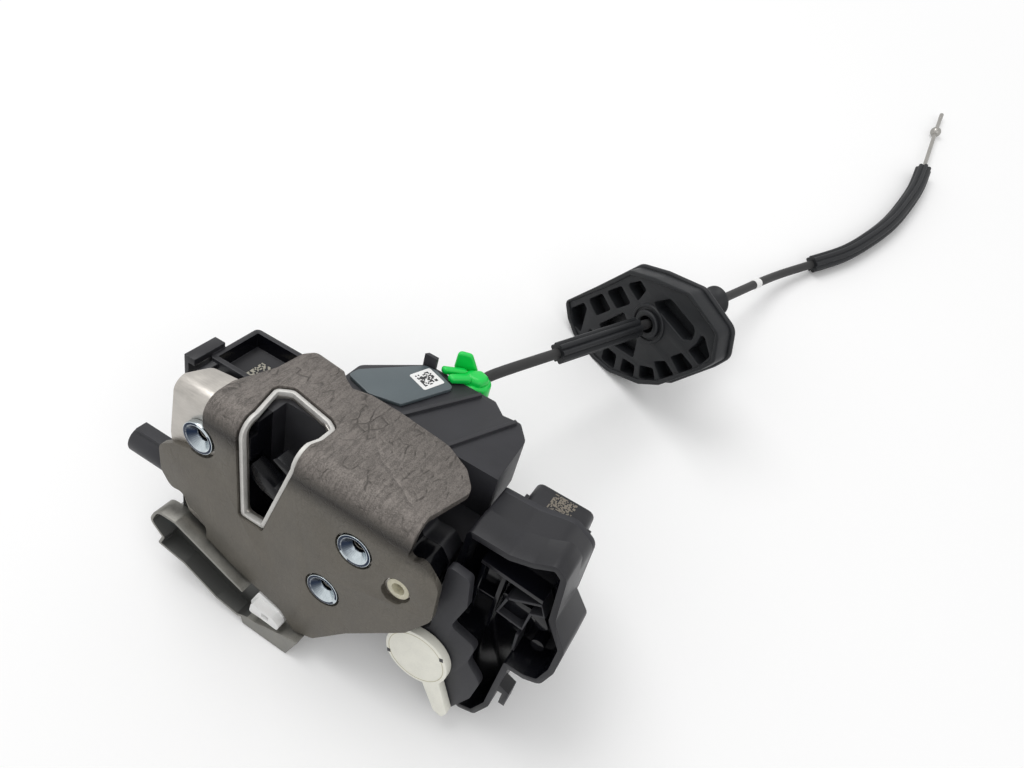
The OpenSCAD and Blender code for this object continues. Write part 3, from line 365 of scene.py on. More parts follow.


# An inner colour is painted shade, for faces marked inside hollows
looks = {
    "darkSteel": {
        "colour": (0.138, 0.127, 0.108), "spread": 0.2, "roughness": (0.42, 0.58), "metal": 0.75,
        "grain": 0.5, "mottle": 12, "fineBump": 0.6, "fineDepth": 0.05, "broadBump": 0.25,
        "broadDepth": 0.4, "edge": (0.035, 0.032, 0.03), "wear": 0.85,
        # painted shade in the fold and painted light on the flange above it
        "bend": {
            "low": 9, "middle": 16, "high": 22, "share": 1, "dark": (0.025, 0.022, 0.02),
            "pale": (0.20, 0.18, 0.165),
        },
        "wrinkle": {
            "from": 5, "to": 18, "least": 0.3, "size": 4, "stretch": (1, 0.5, 1), "strength": 0.9,
            "depth": 0.3, "crackShare": 0.09, "warpScale": 110, "warp": 4, "patch": 6,
            "leather": 0.75, "leatherStrength": 0.9, "leatherDepth": 0.4,
            "pressed": 1.1, "pressedStretch": (1, 0.16, 0.3), "pits": 0.55,
            "creasedAt": (-20, 30, 26), "creasedReach": 11, "shade": (0.045, 0.041, 0.037),
            "scars": [((-20, 32), (-6, 18), 1.2), ((-6, 18), (12, 9), 1.5)],
            "scarStrength": 0.8, "scarDepth": 0.35,
        },
    },
    "clawSteel": {
        "colour": (0.10, 0.098, 0.095), "roughness": (0.3, 0.45), "metal": 0.9, "grain": 0.4,
        "edge": (0.35, 0.34, 0.33),
    },
    "coatedSteel": {
        "colour": (0.004, 0.0042, 0.0055), "roughness": (0.2, 0.34), "grain": 0.5, "fineBump": 0.15,
        "specular": 0.16, "edge": (0.03, 0.03, 0.035), "wear": 0.4,
    },
    # A darker, glossier copy of the black plastic, as painted shade inside the mouth
    "shadedRoomPlastic": {
        "colour": (0.0035, 0.0036, 0.005), "roughness": (0.14, 0.26), "grain": 0.6,
        "fineBump": 0.12, "specular": 0.2, "edge": (0.02, 0.02, 0.024), "wear": 0.4,
    },
    "zincSteel": {
        "colour": (0.49, 0.465, 0.43), "spread": 0.14, "roughness": (0.3, 0.46), "metal": 0.9,
        "grain": 0.5, "stretch": (0.12, 1, 1), "mottle": 7, "fineBump": 0.2,
        "edge": (0.8, 0.78, 0.74),
    },
    "pressedSteel": {
        "colour": (0.23, 0.225, 0.205), "spread": 0.2, "roughness": (0.34, 0.5), "metal": 0.85,
        "grain": 0.45, "stretch": (1, 1, 0.12), "mottle": 9, "fineBump": 0.25,
        "edge": (0.42, 0.41, 0.38), "inner": (0.085, 0.086, 0.082), "innerRough": 0.45,
    },
    "blueZinc": {
        "colour": (0.54, 0.60, 0.63), "spread": 0.14, "roughness": (0.14, 0.28), "metal": 1.0,
        "grain": 0.3, "mottle": 2, "fineBump": 0.15, "edge": (0.66, 0.7, 0.72),
        "inner": (0.015, 0.025, 0.05), "innerRough": 0.2,
    },
    "lipZinc": {
        "colour": (0.60, 0.59, 0.565), "spread": 0.14, "roughness": (0.45, 0.6), "metal": 0.35,
        "grain": 0.4, "mottle": 5, "fineBump": 0.2, "edge": (0.8, 0.79, 0.76),
    },
    "boltDark": {
        "colour": (0.16, 0.15, 0.13), "spread": 0.2, "roughness": (0.25, 0.4), "metal": 1.0,
        "grain": 0.3, "mottle": 2, "edge": (0.3, 0.28, 0.25),
    },
    "springWire": {
        "colour": (0.22, 0.22, 0.22), "roughness": (0.3, 0.4), "metal": 1.0, "grain": 0.3,
    },
    "drawnSteel": {
        "colour": (0.34, 0.33, 0.31), "roughness": (0.25, 0.4), "metal": 1.0, "grain": 0.3,
    },
    "motorCan": {
        "colour": (0.56, 0.56, 0.55), "roughness": (0.22, 0.34), "metal": 1.0, "grain": 0.4,
        "stretch": (0.1, 1, 1),
    },
    "brassPin": {
        "colour": (0.68, 0.56, 0.28), "roughness": (0.2, 0.32), "metal": 1.0, "grain": 0.3,
    },
    "blackPlastic": {
        "colour": (0.0165, 0.0165, 0.0195), "spread": 0.3, "roughness": (0.34, 0.48), "grain": 0.28,
        "mottle": 14, "fineBump": 0.22, "fineDepth": 0.02, "broadBump": 0.12, "specular": 0.35,
        "edge": (0.06, 0.062, 0.07), "wear": 0.6, "inner": (0.0035, 0.0037, 0.0055),
        "innerRough": 0.16,
    },
    "coverPlastic": {
        "colour": (0.026, 0.0262, 0.0305), "spread": 0.2, "roughness": (0.42, 0.56), "grain": 0.4,
        "mottle": 12, "fineBump": 0.4, "fineDepth": 0.03, "specular": 0.35,
        "edge": (0.05, 0.052, 0.058), "wear": 0.5,
    },
    "conduitRubber": {
        "colour": (0.03, 0.0295, 0.03), "spread": 0.2, "roughness": (0.46, 0.62), "grain": 0.5,
        "fineBump": 0.35, "specular": 0.35, "edge": (0.08, 0.08, 0.08),
    },
    "softRubber": {
        "colour": (0.0115, 0.0125, 0.0145), "spread": 0.22, "roughness": (0.42, 0.58), "grain": 0.5,
        "mottle": 6, "fineBump": 0.3, "specular": 0.35, "edge": (0.05, 0.055, 0.06), "wear": 0.5,
    },
    "labelGrey": {
        "colour": (0.085, 0.108, 0.118), "spread": 0.06, "roughness": (0.42, 0.5), "grain": 0.25,
        "fineBump": 0.15, "edge": (0.16, 0.18, 0.2),
    },
    "whitePlastic": {
        "colour": (0.80, 0.80, 0.79), "spread": 0.05, "roughness": (0.35, 0.48), "grain": 0.4,
        "fineBump": 0.15, "edge": (0.9, 0.9, 0.9),
    },
    "creamPlastic": {
        "colour": (0.85, 0.84, 0.75), "spread": 0.05, "roughness": (0.36, 0.5), "grain": 0.5,
        "mottle": 5, "fineBump": 0.2, "edge": (0.86, 0.85, 0.78),
    },
    "waxyPlastic": {
        "colour": (0.56, 0.53, 0.40), "spread": 0.15, "roughness": (0.35, 0.5), "grain": 0.6,
        "mottle": 3, "edge": (0.7, 0.68, 0.56),
    },
    "greenPlastic": {
        "colour": (0.0, 0.62, 0.075), "spread": 0.06, "roughness": (0.3, 0.42), "grain": 0.4,
        "fineBump": 0.12, "edge": (0.05, 0.75, 0.15),
    },
    "paperWhite": {
        "colour": (0.86, 0.86, 0.85), "spread": 0.03, "roughness": (0.5, 0.6), "grain": 0.3,
    },
    "etchedGrey": {
        "colour": (0.42, 0.40, 0.33), "spread": 0.1, "roughness": (0.5, 0.6), "grain": 0.3,
    },
    "etchedBrown": {
        "colour": (0.20, 0.175, 0.14), "spread": 0.1, "roughness": (0.5, 0.6), "grain": 0.3,
    },
    "inkBlack": {
        "colour": (0.03, 0.03, 0.032), "spread": 0.1, "roughness": (0.5, 0.6), "grain": 0.3,
    },
}
finish = {name: surface(name, look) for name, look in looks.items()}


# A piece on its body, with its finish and the nodes that it stands for
def addPiece(name, mesh, body, material=None, replaces=()):
    if material is not None:
        mesh.materials.clear()
        mesh.materials.append(finish[material])
    piece = linked(name, mesh)
    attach(piece, body)
    if replaces:
        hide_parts(*replaces)
    return piece


def smoothByAngle(mesh, angle=32):
    mesh.shade_smooth()
    mesh.set_sharp_from_angle(angle=math.radians(angle))


# Ends an edit as a mesh, smoothed below an angle where one is given
def meshFrom(work, name, angle=None):
    mesh = bpy.data.meshes.new(name)
    work.to_mesh(mesh)
    work.free()
    if angle:
        smoothByAngle(mesh, angle)
    return mesh


def joined(meshes, name):
    whole = bmesh.new()
    for mesh in meshes:
        whole.from_mesh(mesh)
    return meshFrom(whole, name)


# Rounds a mesh's sharp edges and marks the rounding, so that a material can give it wear and a
# painted edge highlight
def softEdges(work, width, segments=2):
    least = math.radians(28)
    sharp = [e for e in work.edges if e.is_manifold and e.calc_face_angle() > least]
    wear = work.loops.layers.float.new("edgeWearAndHighlight")
    rounded = set()
    if width > 0 and sharp:
        made = bmesh.ops.bevel(
            work, geom=sharp, offset=width * mm, offset_type="OFFSET", segments=segments,
            profile=0.5, affect="EDGES", clamp_overlap=True,
        )
        rounded = set(made["faces"])
    for face in work.faces:
        for loop in face.loops:
            loop[wear] = 1.0 if face in rounded else 0.0


print("stage: cable")
cable = {
    "conduit": 2.3, "conduitBore": 1.3, "conduitBoreDepth": 4,
    "sleeve": 4.8, "sleeveSides": 64, "flutes": 8, "groove": 0.2,
    "farBore": 1.5, "farBoreDepth": 14, "nearSpan": (33, 81), "nearGroove": 0.26,
    "wire": 1.2, "wireSides": 20, "wireInside": 11,
    "guide": (-11.3, 66, 13.5),
    "nearSteps": ((0, 0, 0), (3, 6.3, 1.2), (5.8, 12.6, 3.6), (8, 19.4, 6.2)),
    "exit": (-2.3, 91.75, 21),
    "bore": (35, 169, 40.5), "neck": (56, 214, 26.5),
    "lay": ((68, 248, 15), (76.5, 269, 8.5)),
    "far": ((89, 290, 5.4), (102, 309, 5.2), (111, 329, 5.2), (117.5, 349, 5.2), (121, 369, 5.2),
            (123, 390, 5.2), (122.5, 410, 5.2)),
    "ballAt": (120, 456, 3.6), "tipAt": (119, 477, 3.4),
    "ballProfile": [(0.4, -3.3), (1.6, -2.9), (2.6, -2), (3.2, -0.8), (3.3, 0), (3.2, 0.8),
                    (2.6, 2), (1.6, 2.9), (0.4, 3.3)],
    "tipProfile": [(0.9, -5), (1.3, -4.4), (1.3, 0.4), (0.9, 1), (0.3, 1.3)],
    "bandProfile": [(2.34, -2.5), (2.62, -2.4), (2.62, 2.4), (2.34, 2.5)],
}


# A smooth curve from b to c, with a before and d after them
def blendAt(a, b, c, d, t):
    square = 2 * a - 5 * b + 4 * c - d
    cube = 3 * b - a - 3 * c + d
    return 0.5 * (2 * b + (c - a) * t + square * t * t + cube * t ** 3)


def smoothRoute(points, steps):
    last = len(points) - 1
    route = [
        blendAt(
            points[max(i - 1, 0)], points[i], points[i + 1], points[min(i + 2, last)], j / steps,
        )
        for i in range(last) for j in range(steps)
    ]
    return route + [points[last]]


guideAt = lockPoint(*cable["guide"])
nearPoints = [
    lockPoint(*(at + more for at, more in zip(cable["guide"], step)))
    for step in cable["nearSteps"]
]
exitAt = lockPoint(*cable["exit"])
boreAt = benchPoint(*cable["bore"])
neckAt = benchPoint(*cable["neck"])
layPoints = [benchPoint(*p) for p in cable["lay"]]
farPoints = [benchPoint(*p) for p in cable["far"]]
straight = [exitAt, (exitAt + boreAt) / 2, boreAt, (boreAt + neckAt) / 2, neckAt]
conduitRoute = smoothRoute(nearPoints + straight + layPoints + farPoints[:5], 6)
farRoute = smoothRoute(farPoints, 8)
ballAt = benchPoint(*cable["ballAt"])
tipAt = benchPoint(*cable["tipAt"])
wireOut = (ballAt - farPoints[-1]).normalized()
wireStart = farPoints[-1] - wireOut * cable["wireInside"] * mm
nearOut = (boreAt - exitAt).normalized()


def lineMesh(route):
    mesh = bpy.data.meshes.new("route")
    edges = [(i, i + 1) for i in range(len(route) - 1)]
    mesh.from_pydata([tuple(p) for p in route], edges, [])
    return mesh


# Skin round a route, with grooves along it where Groove is above zero
def skinTree():
    tree, given = newTree("routeSkin", {
        "Radius": "Float", "Sides": "Int", "Flutes": "Int", "Groove": "Float",
        "Material": "Material",
    })
    ring = addNode(tree, "GeometryNodeCurvePrimitiveCircle", {
        "Resolution": given["Sides"], "Radius": given["Radius"],
    })
    where = addNode(tree, "GeometryNodeInputPosition").outputs[0]
    parts = addNode(tree, "ShaderNodeSeparateXYZ", {0: where}).outputs
    angle = mathOf(tree, "ARCTAN2", parts[1], parts[0])
    wave = mathOf(tree, "COSINE", mathOf(tree, "MULTIPLY", angle, given["Flutes"]))
    share = mathOf(tree, "MULTIPLY", mathOf(tree, "SUBTRACT", 1, wave), 0.5)
    dip = mathOf(tree, "POWER", share, 2.2)
    scale = mathOf(tree, "SUBTRACT", 1, mathOf(tree, "MULTIPLY", dip, given["Groove"]))
    placed = addNode(tree, "ShaderNodeVectorMath", {0: where, "Scale": scale}, operation="SCALE")
    shaped = addNode(tree, "GeometryNodeSetPosition", {
        0: ring.outputs[0], "Position": placed.outputs[0],
    })
    line = addNode(tree, "GeometryNodeMeshToCurve", {0: given["Geometry"]})
    skin = addNode(tree, "GeometryNodeCurveToMesh", {
        "Curve": line.outputs[0], "Profile Curve": shaped.outputs[0], "Fill Caps": True,
    })
    endTree(tree, skin.outputs[0], given["Material"])
    return tree


skinOf = skinTree()


def tube(route, radius, material, sides=24, flutes=0, groove=0.0):
    mesh = grown(lineMesh(route), skinOf, {
        "Radius": radius * mm, "Sides": sides, "Flutes": flutes, "Groove": groove,
        "Material": finish[material],
    })
    smoothByAngle(mesh, 35)
    return mesh


# A body of revolution about z, its profile given as (radius, height) in millimetres
def lathe(profile, steps=48, closed=False):
    work = bmesh.new()
    turns = [2 * math.pi * i / steps for i in range(steps)]
    rings = [
        [work.verts.new((r * mm * math.cos(t), r * mm * math.sin(t), h * mm)) for t in turns]
        for r, h in profile
    ]
    pairs = list(zip(rings, rings[1:])) + ([(rings[-1], rings[0])] if closed else [])
    for low, high in pairs:
        for i in range(steps):
            k = (i + 1) % steps
            work.faces.new((low[i], low[k], high[k], high[i]))
    if not closed:
        work.faces.new(rings[0][::-1])
        work.faces.new(rings[-1])
    bmesh.ops.recalc_face_normals(work, faces=work.faces)
    return meshFrom(work, "lathe", 32)


# A mesh with a straight round bore between two points
def bored(mesh, start, end, radius):
    depth = (end - start).length / mm
    core = moved(lathe([(radius, 0), (radius, depth)], 20), turnedTo(end - start, start))
    drill = linked("drill", core)
    host = linked("host", mesh)
    cut = host.modifiers.new("cut", "BOOLEAN")
    cut.operation = "DIFFERENCE"
    cut.object = drill
    made = takeMesh(host)
    bpy.data.objects.remove(drill)
    return made


def turnedTo(direction, place):
    return Matrix.Translation(place) @ direction.to_track_quat("Z", "Y").to_matrix().to_4x4()


def moved(mesh, matrix):
    mesh.transform(matrix)
    return mesh


# Outline points are (x, y) or (x, y, corner radius)
def roundCorners(points, steps=5):
    result = []
    count = len(points)
    for i, point in enumerate(points):
        p = Vector(point[:2])
        a = Vector(points[i - 1][:2])
        b = Vector(points[(i + 1) % count][:2])
        u = (a - p).normalized()
        v = (b - p).normalized()
        bend = u.angle(v)
        radius = point[2] if len(point) > 2 else 0
        if radius <= 0 or abs(bend - math.pi) < 0.03:
            result.append(p)
            continue
        reach = min(radius / math.tan(bend / 2), 0.48 * (a - p).length, 0.48 * (b - p).length)
        centre = p + (u + v).normalized() * reach / math.cos(bend / 2)
        start = p + u * reach - centre
        turn = start.angle_signed(p + v * reach - centre)
        for step in range(steps + 1):
            angle = -turn * step / steps
            result.append(centre + Vector((
                start.x * math.cos(angle) - start.y * math.sin(angle),
                start.x * math.sin(angle) + start.y * math.cos(angle),
            )))
    return result


# A plate with holes between two heights, in millimetres, its edges rounded
def plate(outlines, low, high, edge=0.3, steps=5):
    curve = bpy.data.curves.new("plate", "CURVE")
    curve.dimensions = "2D"
    curve.fill_mode = "BOTH"
    curve.extrude = ((high - low) / 2 - edge) * mm
    curve.bevel_depth = edge * mm
    curve.bevel_resolution = 2
    curve.offset = -edge * mm
    for outline in outlines:
        points = roundCorners(outline, steps)
        line = curve.splines.new("POLY")
        line.points.add(len(points) - 1)
        for spot, p in zip(line.points, points):
            spot.co = (p.x * mm, p.y * mm, 0, 1)
        line.use_cyclic_u = True
    mesh = takeMesh(linked("host", curve))
    work = bmesh.new()
    work.from_mesh(mesh)
    bmesh.ops.remove_doubles(work, verts=work.verts, dist=1e-6)
    bmesh.ops.recalc_face_normals(work, faces=work.faces)
    work.to_mesh(mesh)
    work.free()
    smoothByAngle(mesh)
    return moved(mesh, shiftTo((0, 0, (low + high) / 2)))


def circle(x, y, radius, steps=28):
    turns = [2 * math.pi * i / steps for i in range(steps)]
    return [(x + radius * math.cos(t), y + radius * math.sin(t)) for t in turns]


nearRun = (nearPoints[1] - nearPoints[0]).normalized() * mm
conduitMesh = bored(
    tube(conduitRoute, cable["conduit"], "conduitRubber"),
    guideAt - nearRun, guideAt + nearRun * cable["conduitBoreDepth"], cable["conduitBore"],
)
conduit = addPiece("conduitSkin", conduitMesh, "lock", replaces=["conduit"])
farMesh = bored(
    tube(farRoute, cable["sleeve"], "softRubber", cable["sleeveSides"], cable["flutes"],
         cable["groove"]),
    farPoints[-1] - wireOut * cable["farBoreDepth"] * mm, farPoints[-1] + wireOut * mm,
    cable["farBore"],
)
farSleeve = addPiece("farSleeve", farMesh, "lock", replaces=["far_sleeve"])
nearRoute = [exitAt + nearOut * step * mm for step in range(*cable["nearSpan"])]
nearMesh = tube(
    nearRoute, cable["sleeve"], "softRubber", cable["sleeveSides"], cable["flutes"],
    cable["nearGroove"],
)
nearSleeve = addPiece("nearSleeve", nearMesh, "lock", replaces=["near_sleeve"])

# Grommet, drawn in its own plane with z towards the lock
grommet = {
    "turn": -24.8, "tilt": 74.4,
    "outline": [(-48, -29.5, 3), (-42, -36.5, 4), (-34, -41, 4), (-17, -42, 5), (-6, -40, 6),
                (12, -30, 6), (21.5, -20.5, 4), (34.5, 4, 6), (38, 13, 5), (32.4, 25.3, 5),
                (11, 29.5, 6), (-8.5, 21.6, 5), (-22, 14.4, 6), (-31.6, -2.3, 6)],
    "pockets": [
        [(-43.5, -31, 1.5), (-37.8, -21.5, 1), (-34.5, -22.5, 1), (-31.5, -37, 1.5), (-38, -37, 2)],
        [(-36, -17.5, 1.5), (-30.4, -8.3, 1.5), (-21.5, -11.2, 1), (-27.5, -21, 1)],
        [(-28.5, -5.3, 1.5), (-22.6, 3.6, 1.5), (-13.4, 0.4, 1), (-19, -8.2, 1)],
        [(-20.3, 7, 1.5), (-14.5, 14, 1.5), (-9.5, 12.6, 1), (-10.6, 4.6, 1)],
        [(-3.6, 10.4, 1.5), (3.5, 19, 2.5), (21.5, 17.5, 3.5), (23, 11.6, 1.5), (19, 8.2, 1),
         (1, 9.4, 1)],
        [(-23.8, -23.4, 1), (-14.6, -6.4, 1), (-8.8, -9.2, 1), (-18, -25.6, 1)],
        [(-14.6, -27, 1), (-8.6, -13.2, 1), (-1, -11.6, 1), (2.2, -21.6, 1)],
        [(-28, -38, 1.5), (-27.2, -30, 1), (-19.5, -29.6, 1), (-17, -38.6, 1.5)],
        [(-13, -38.4, 1.5), (-15, -30, 1), (-6.5, -28.6, 1), (-4, -36.6, 1.5)],
        [(-0.5, -34, 1), (-2.5, -26.6, 1), (5.2, -24.2, 1), (7.5, -30, 1)],
        [(10.5, -27.6, 1), (7.4, -21.4, 1), (14.2, -16.6, 1), (18.4, -21, 1)],
        [(20.2, -18, 1), (12.4, -13.4, 1), (17.4, -8, 1), (25, -9.8, 1)],
        [(26.4, -7, 1), (18.4, -4.2, 1), (22, 2.4, 1), (31, 1.6, 1)],
        [(32.4, 4.6, 1.5), (24, 6, 1), (25.6, 12, 1), (25, 19.4, 2), (34.2, 12.4, 2)],
    ],
    "middle": (-5, -7), "face": -1, "floor": -8, "back": -10.5,
    "webInset": 0.8, "webEdge": 0.35, "webSeat": 0.5, "rimWidth": 2.4, "rimEdge": 0.6,
    "rimSeat": 1, "flangeOut": 1.4, "flangeEdge": 1.1, "bore": 5, "wireBore": 3.4,
    "collars": [
        [(4.2, -9), (4.2, 0.6), (4.8, 1), (6.2, 1), (6.8, 0.4), (6.8, -9)],
        [(8.2, -9), (8.2, -0.4), (8.5, -0.2), (9.3, -0.2), (9.6, -0.6), (9.6, -9)],
    ],
}
grommetTurn = turnBy(grommet["turn"], "Z") @ turnBy(grommet["tilt"], "X")
grommetMatrix = Matrix.Translation(boreAt) @ grommetTurn


# The grommet's outline, a little larger or smaller
def movedOut(points, distance):
    centre = Vector(grommet["middle"])
    result = []
    for x, y, radius in points:
        place = Vector((x, y))
        place += (place - centre).normalized() * distance
        result.append((*place, radius + distance))
    return result


# Cuts off what would reach below the bench
def floorTrim(mesh, height=0.0001):
    work = bmesh.new()
    work.from_mesh(mesh)
    cut = bmesh.ops.bisect_plane(
        work, geom=work.verts[:] + work.edges[:] + work.faces[:],
        plane_co=(0, 0, height), plane_no=(0, 0, 1), clear_inner=True,
    )
    edges = [e for e in cut["geom_cut"] if isinstance(e, bmesh.types.BMEdge)]
    bmesh.ops.triangle_fill(work, edges=edges, use_beauty=True, normal=(0, 0, -1))
    work.to_mesh(mesh)
    work.free()
    smoothByAngle(mesh)
    return mesh


webOutlines = [movedOut(grommet["outline"], -grommet["webInset"]), *grommet["pockets"]]
rimOutlines = [grommet["outline"], movedOut(grommet["outline"], -grommet["rimWidth"])]
flangeOutlines = [movedOut(grommet["outline"], grommet["flangeOut"])]
grommetParts = [
    plate(webOutlines + [circle(0, 0, grommet["bore"])],
          grommet["floor"] - grommet["webSeat"], grommet["face"], grommet["webEdge"]),
    plate(rimOutlines, grommet["floor"] - grommet["rimSeat"], 0, grommet["rimEdge"]),
    plate(flangeOutlines + [circle(0, 0, grommet["wireBore"])],
          grommet["back"], grommet["floor"], grommet["flangeEdge"], 9),
] + [lathe(profile, closed=True) for profile in grommet["collars"]]
grommetMesh = floorTrim(moved(joined(grommetParts, "grommet"), grommetMatrix))
grommetPiece = addPiece(
    "grommetPlate", grommetMesh, "lock", "softRubber", ["grommet"],
)

# Neck behind the grommet: heights of its end are above the end, those of its root from the bore
neck = {
    "bore": 2.5,
    "end": [(3.2, 0), (7.2, 0), (7.8, 0.7), (7.8, 1.6), (6.6, 3), (5.6, 4.5), (4.9, 9)],
    "root": [(4.9, -24), (6.1, -21), (6.1, -16), (7.4, -12.5), (9.5, -10.4), (9.5, -10)],
}
neckEnd = -(neckAt - boreAt).length / mm
neckProfile = [(neck["bore"], -10), (neck["bore"], neckEnd + 0.2)]
neckProfile += [(radius, neckEnd + rise) for radius, rise in neck["end"]] + neck["root"]
neckMesh = moved(lathe(neckProfile, closed=True), grommetMatrix)
grommetNeck = addPiece(
    "grommetNeck", neckMesh, "lock", "softRubber", ["grommet_neck"],
)

bandOut = (layPoints[1] - neckAt).normalized()
bandMesh = moved(lathe(cable["bandProfile"], closed=True), turnedTo(bandOut, layPoints[0]))
markerBand = addPiece(
    "markerBand", bandMesh, "lock", "paperWhite", ["marker_band"],
)

wireLine = [wireStart.lerp(ballAt, step / 12) for step in range(13)]
wireLine += [ballAt.lerp(tipAt, step / 4) for step in (1, 2, 3, 4)]
ballMesh = moved(lathe(cable["ballProfile"], 32), turnedTo(wireOut, ballAt))
tipOut = (tipAt - ballAt).normalized()
tipMesh = moved(lathe(cable["tipProfile"], 24), turnedTo(tipOut, tipAt))
innerWire = addPiece(
    "innerWire", tube(wireLine, cable["wire"], "drawnSteel", cable["wireSides"]), "wire",
    replaces=["inner_wire"],
)
wireEnds = addPiece(
    "wireEnds", joined([ballMesh, tipMesh], "wireEnds"), "wire", "drawnSteel",
)

print("stage: lock pieces")
# Finish and edge rounding in millimetres for each node that keeps the source's shape
dressings = {
    "shut_plate": ("darkSteel", 0.5), "backing_plate": ("zincSteel", 0.3),
    "threaded_inserts": ("blueZinc", 0.25), "release_pin": ("waxyPlastic", 0.3),
    "claw_pin": ("drawnSteel", 0.2), "claw": ("coatedSteel", 0.3), "pawl": ("coatedSteel", 0.3),
    "pawl_lever": ("clawSteel", 0.2), "striker_buffer": ("shadedRoomPlastic", 0.3),
    "latch_housing": ("shadedRoomPlastic", 0.3), "latch_rear": ("blackPlastic", 0.3),
    "back_plate": ("zincSteel", 0.2), "end_cap": ("blackPlastic", 0.25),
    "side_knob": ("coverPlastic", 0.4), "release_housing": ("coverPlastic", 0.35),
    "label_plate": ("labelGrey", 0.3), "inside_lever": ("zincSteel", 0.2),
    "inside_lever_pin": ("drawnSteel", 0.2), "near_wire": ("drawnSteel", 0.15),
    "wire_guide": ("blackPlastic", 0.2), "actuator_housing": ("blackPlastic", 0.3),
    "lever_cover": ("coverPlastic", 0.45), "rear_cover": ("coverPlastic", 0.4),
    "cover_screws": ("blueZinc", 0.15), "connector_shell": ("blackPlastic", 0.3),
    "connector_pins": ("brassPin", 0.1), "lock_motor": ("motorCan", 0.3),
    "motor_worm": ("brassPin", 0), "worm_wheel": ("whitePlastic", 0.1),
    "wheel_pin": ("drawnSteel", 0.2), "lock_lever": ("whitePlastic", 0.2),
    "key_lever": ("creamPlastic", 0.4), "outside_lever": ("pressedSteel", 0.25),
    "lever_rivet": ("blueZinc", 0.3), "rod_clip": ("whitePlastic", 0.3),
    "claw_spring": ("springWire", 0), "pawl_spring": ("springWire", 0),
}

insertPlaces = [(-68.6, 6.2), (0, 0), (-9.8, -30.4)]
# Nodes with a hollow painted in shade, and the depth behind which their forward faces lie in it
hollowShadeFrom = {"threaded_inserts": 0, "outside_lever": -2.4, "actuator_housing": 19.5, "end_cap": 60}


def pieceName(node):
    first, *rest = node.split("_")
    return first + "".join(word.capitalize() for word in rest or ["part"])


# The actuator's front rim leans back towards its top
rimLean = {"depth": 14, "top": 17.5, "back": 6.5}


def leanFront(work, look):
    toLock = lockMatrix.inverted()
    for vert in work.verts:
        p = toLock @ vert.co / mm
        if p.y < look["depth"] and p.z > 0:
            share = min(p.z / look["top"], 1)
            back = look["back"] * share * share * (3 - 2 * share)
            vert.co += lockMatrix.to_3x3() @ Vector((0, back, 0)) * mm


insertHole = {"bore": 2.9, "cone": 5.6, "depth": 6}
hollow = {"lift": 0.05, "reach": 60, "forward": -0.7}


# Dark in an insert's bore, and in its cone on the side away from the light
def insertShade(p):
    x, z = min(insertPlaces, key=lambda spot: math.hypot(p.x - spot[0], p.z - spot[1]))
    reach = math.hypot(p.x - x, p.z - z)
    if reach < insertHole["bore"]:
        return 1.0
    if reach < insertHole["cone"] and p.y < insertHole["depth"]:
        return max(0, (x - p.x) / reach)
    return 0.0


# Marks the faces inside hollows for painted shade: cones and bores, the lever's trough, the ribbed
# front
def markHollowShade(work, node):
    toLock = lockMatrix.inverted()
    inner = work.loops.layers.float.new("inner")
    work.faces.ensure_lookup_table()
    solid = BVHTree.FromBMesh(work)
    for face in work.faces:
        centre = face.calc_center_median()
        p = toLock @ centre / mm
        side = toLock.to_3x3() @ face.normal
        if node == "threaded_inserts":
            value = insertShade(p)
        else:
            start = centre + face.normal * hollow["lift"] * mm
            facing = solid.ray_cast(start, face.normal, hollow["reach"] * mm)[0]
            behind = side.y < hollow["forward"] and p.y > hollowShadeFrom[node]
            value = 1.0 if facing or behind else 0.0
        for loop in face.loops:
            loop[inner] = value


# A welded copy of a node's mesh, its flat faces whole again and its edges rounded
def dressed(node, width):
    work = bmesh.new()
    work.from_mesh(frame["nodes"][node].data)
    bmesh.ops.remove_doubles(work, verts=work.verts, dist=2e-6)
    bmesh.ops.dissolve_limit(
        work, angle_limit=math.radians(0.5), verts=work.verts, edges=work.edges,
    )
    if node == "actuator_housing":
        leanFront(work, rimLean)
    softEdges(work, width)
    if node in hollowShadeFrom:
        markHollowShade(work, node)
    return meshFrom(work, pieceName(node), 32)


for node, (material, width) in dressings.items():
    addPiece(pieceName(node), dressed(node, width), bodyOf[node], material, [node])

print("stage: small parts")


# An outline in x and z, extruded along the lock's depth from y0 to y1
def upright(outlines, y0, y1, edge=0.3):
    return moved(plate(outlines, -y1, -y0, edge), lockMatrix @ turnBy(90, "X"))


# An outline in x and y, extruded along the lock's height
def level(outlines, z0, z1, edge=0.3):
    return moved(plate(outlines, z0, z1, edge), lockMatrix)


# The outline of a thin wall along a line
def wallOutline(points, width):
    line = [Vector(p) for p in points]
    sides = []
    for i, p in enumerate(line):
        along = (line[min(i + 1, len(line) - 1)] - line[max(i - 1, 0)]).normalized()
        off = Vector((-along.y, along.x)) * width / 2
        sides.append((p + off, p - off))
    return [tuple(left) for left, right in sides] + [tuple(right) for left, right in sides[::-1]]


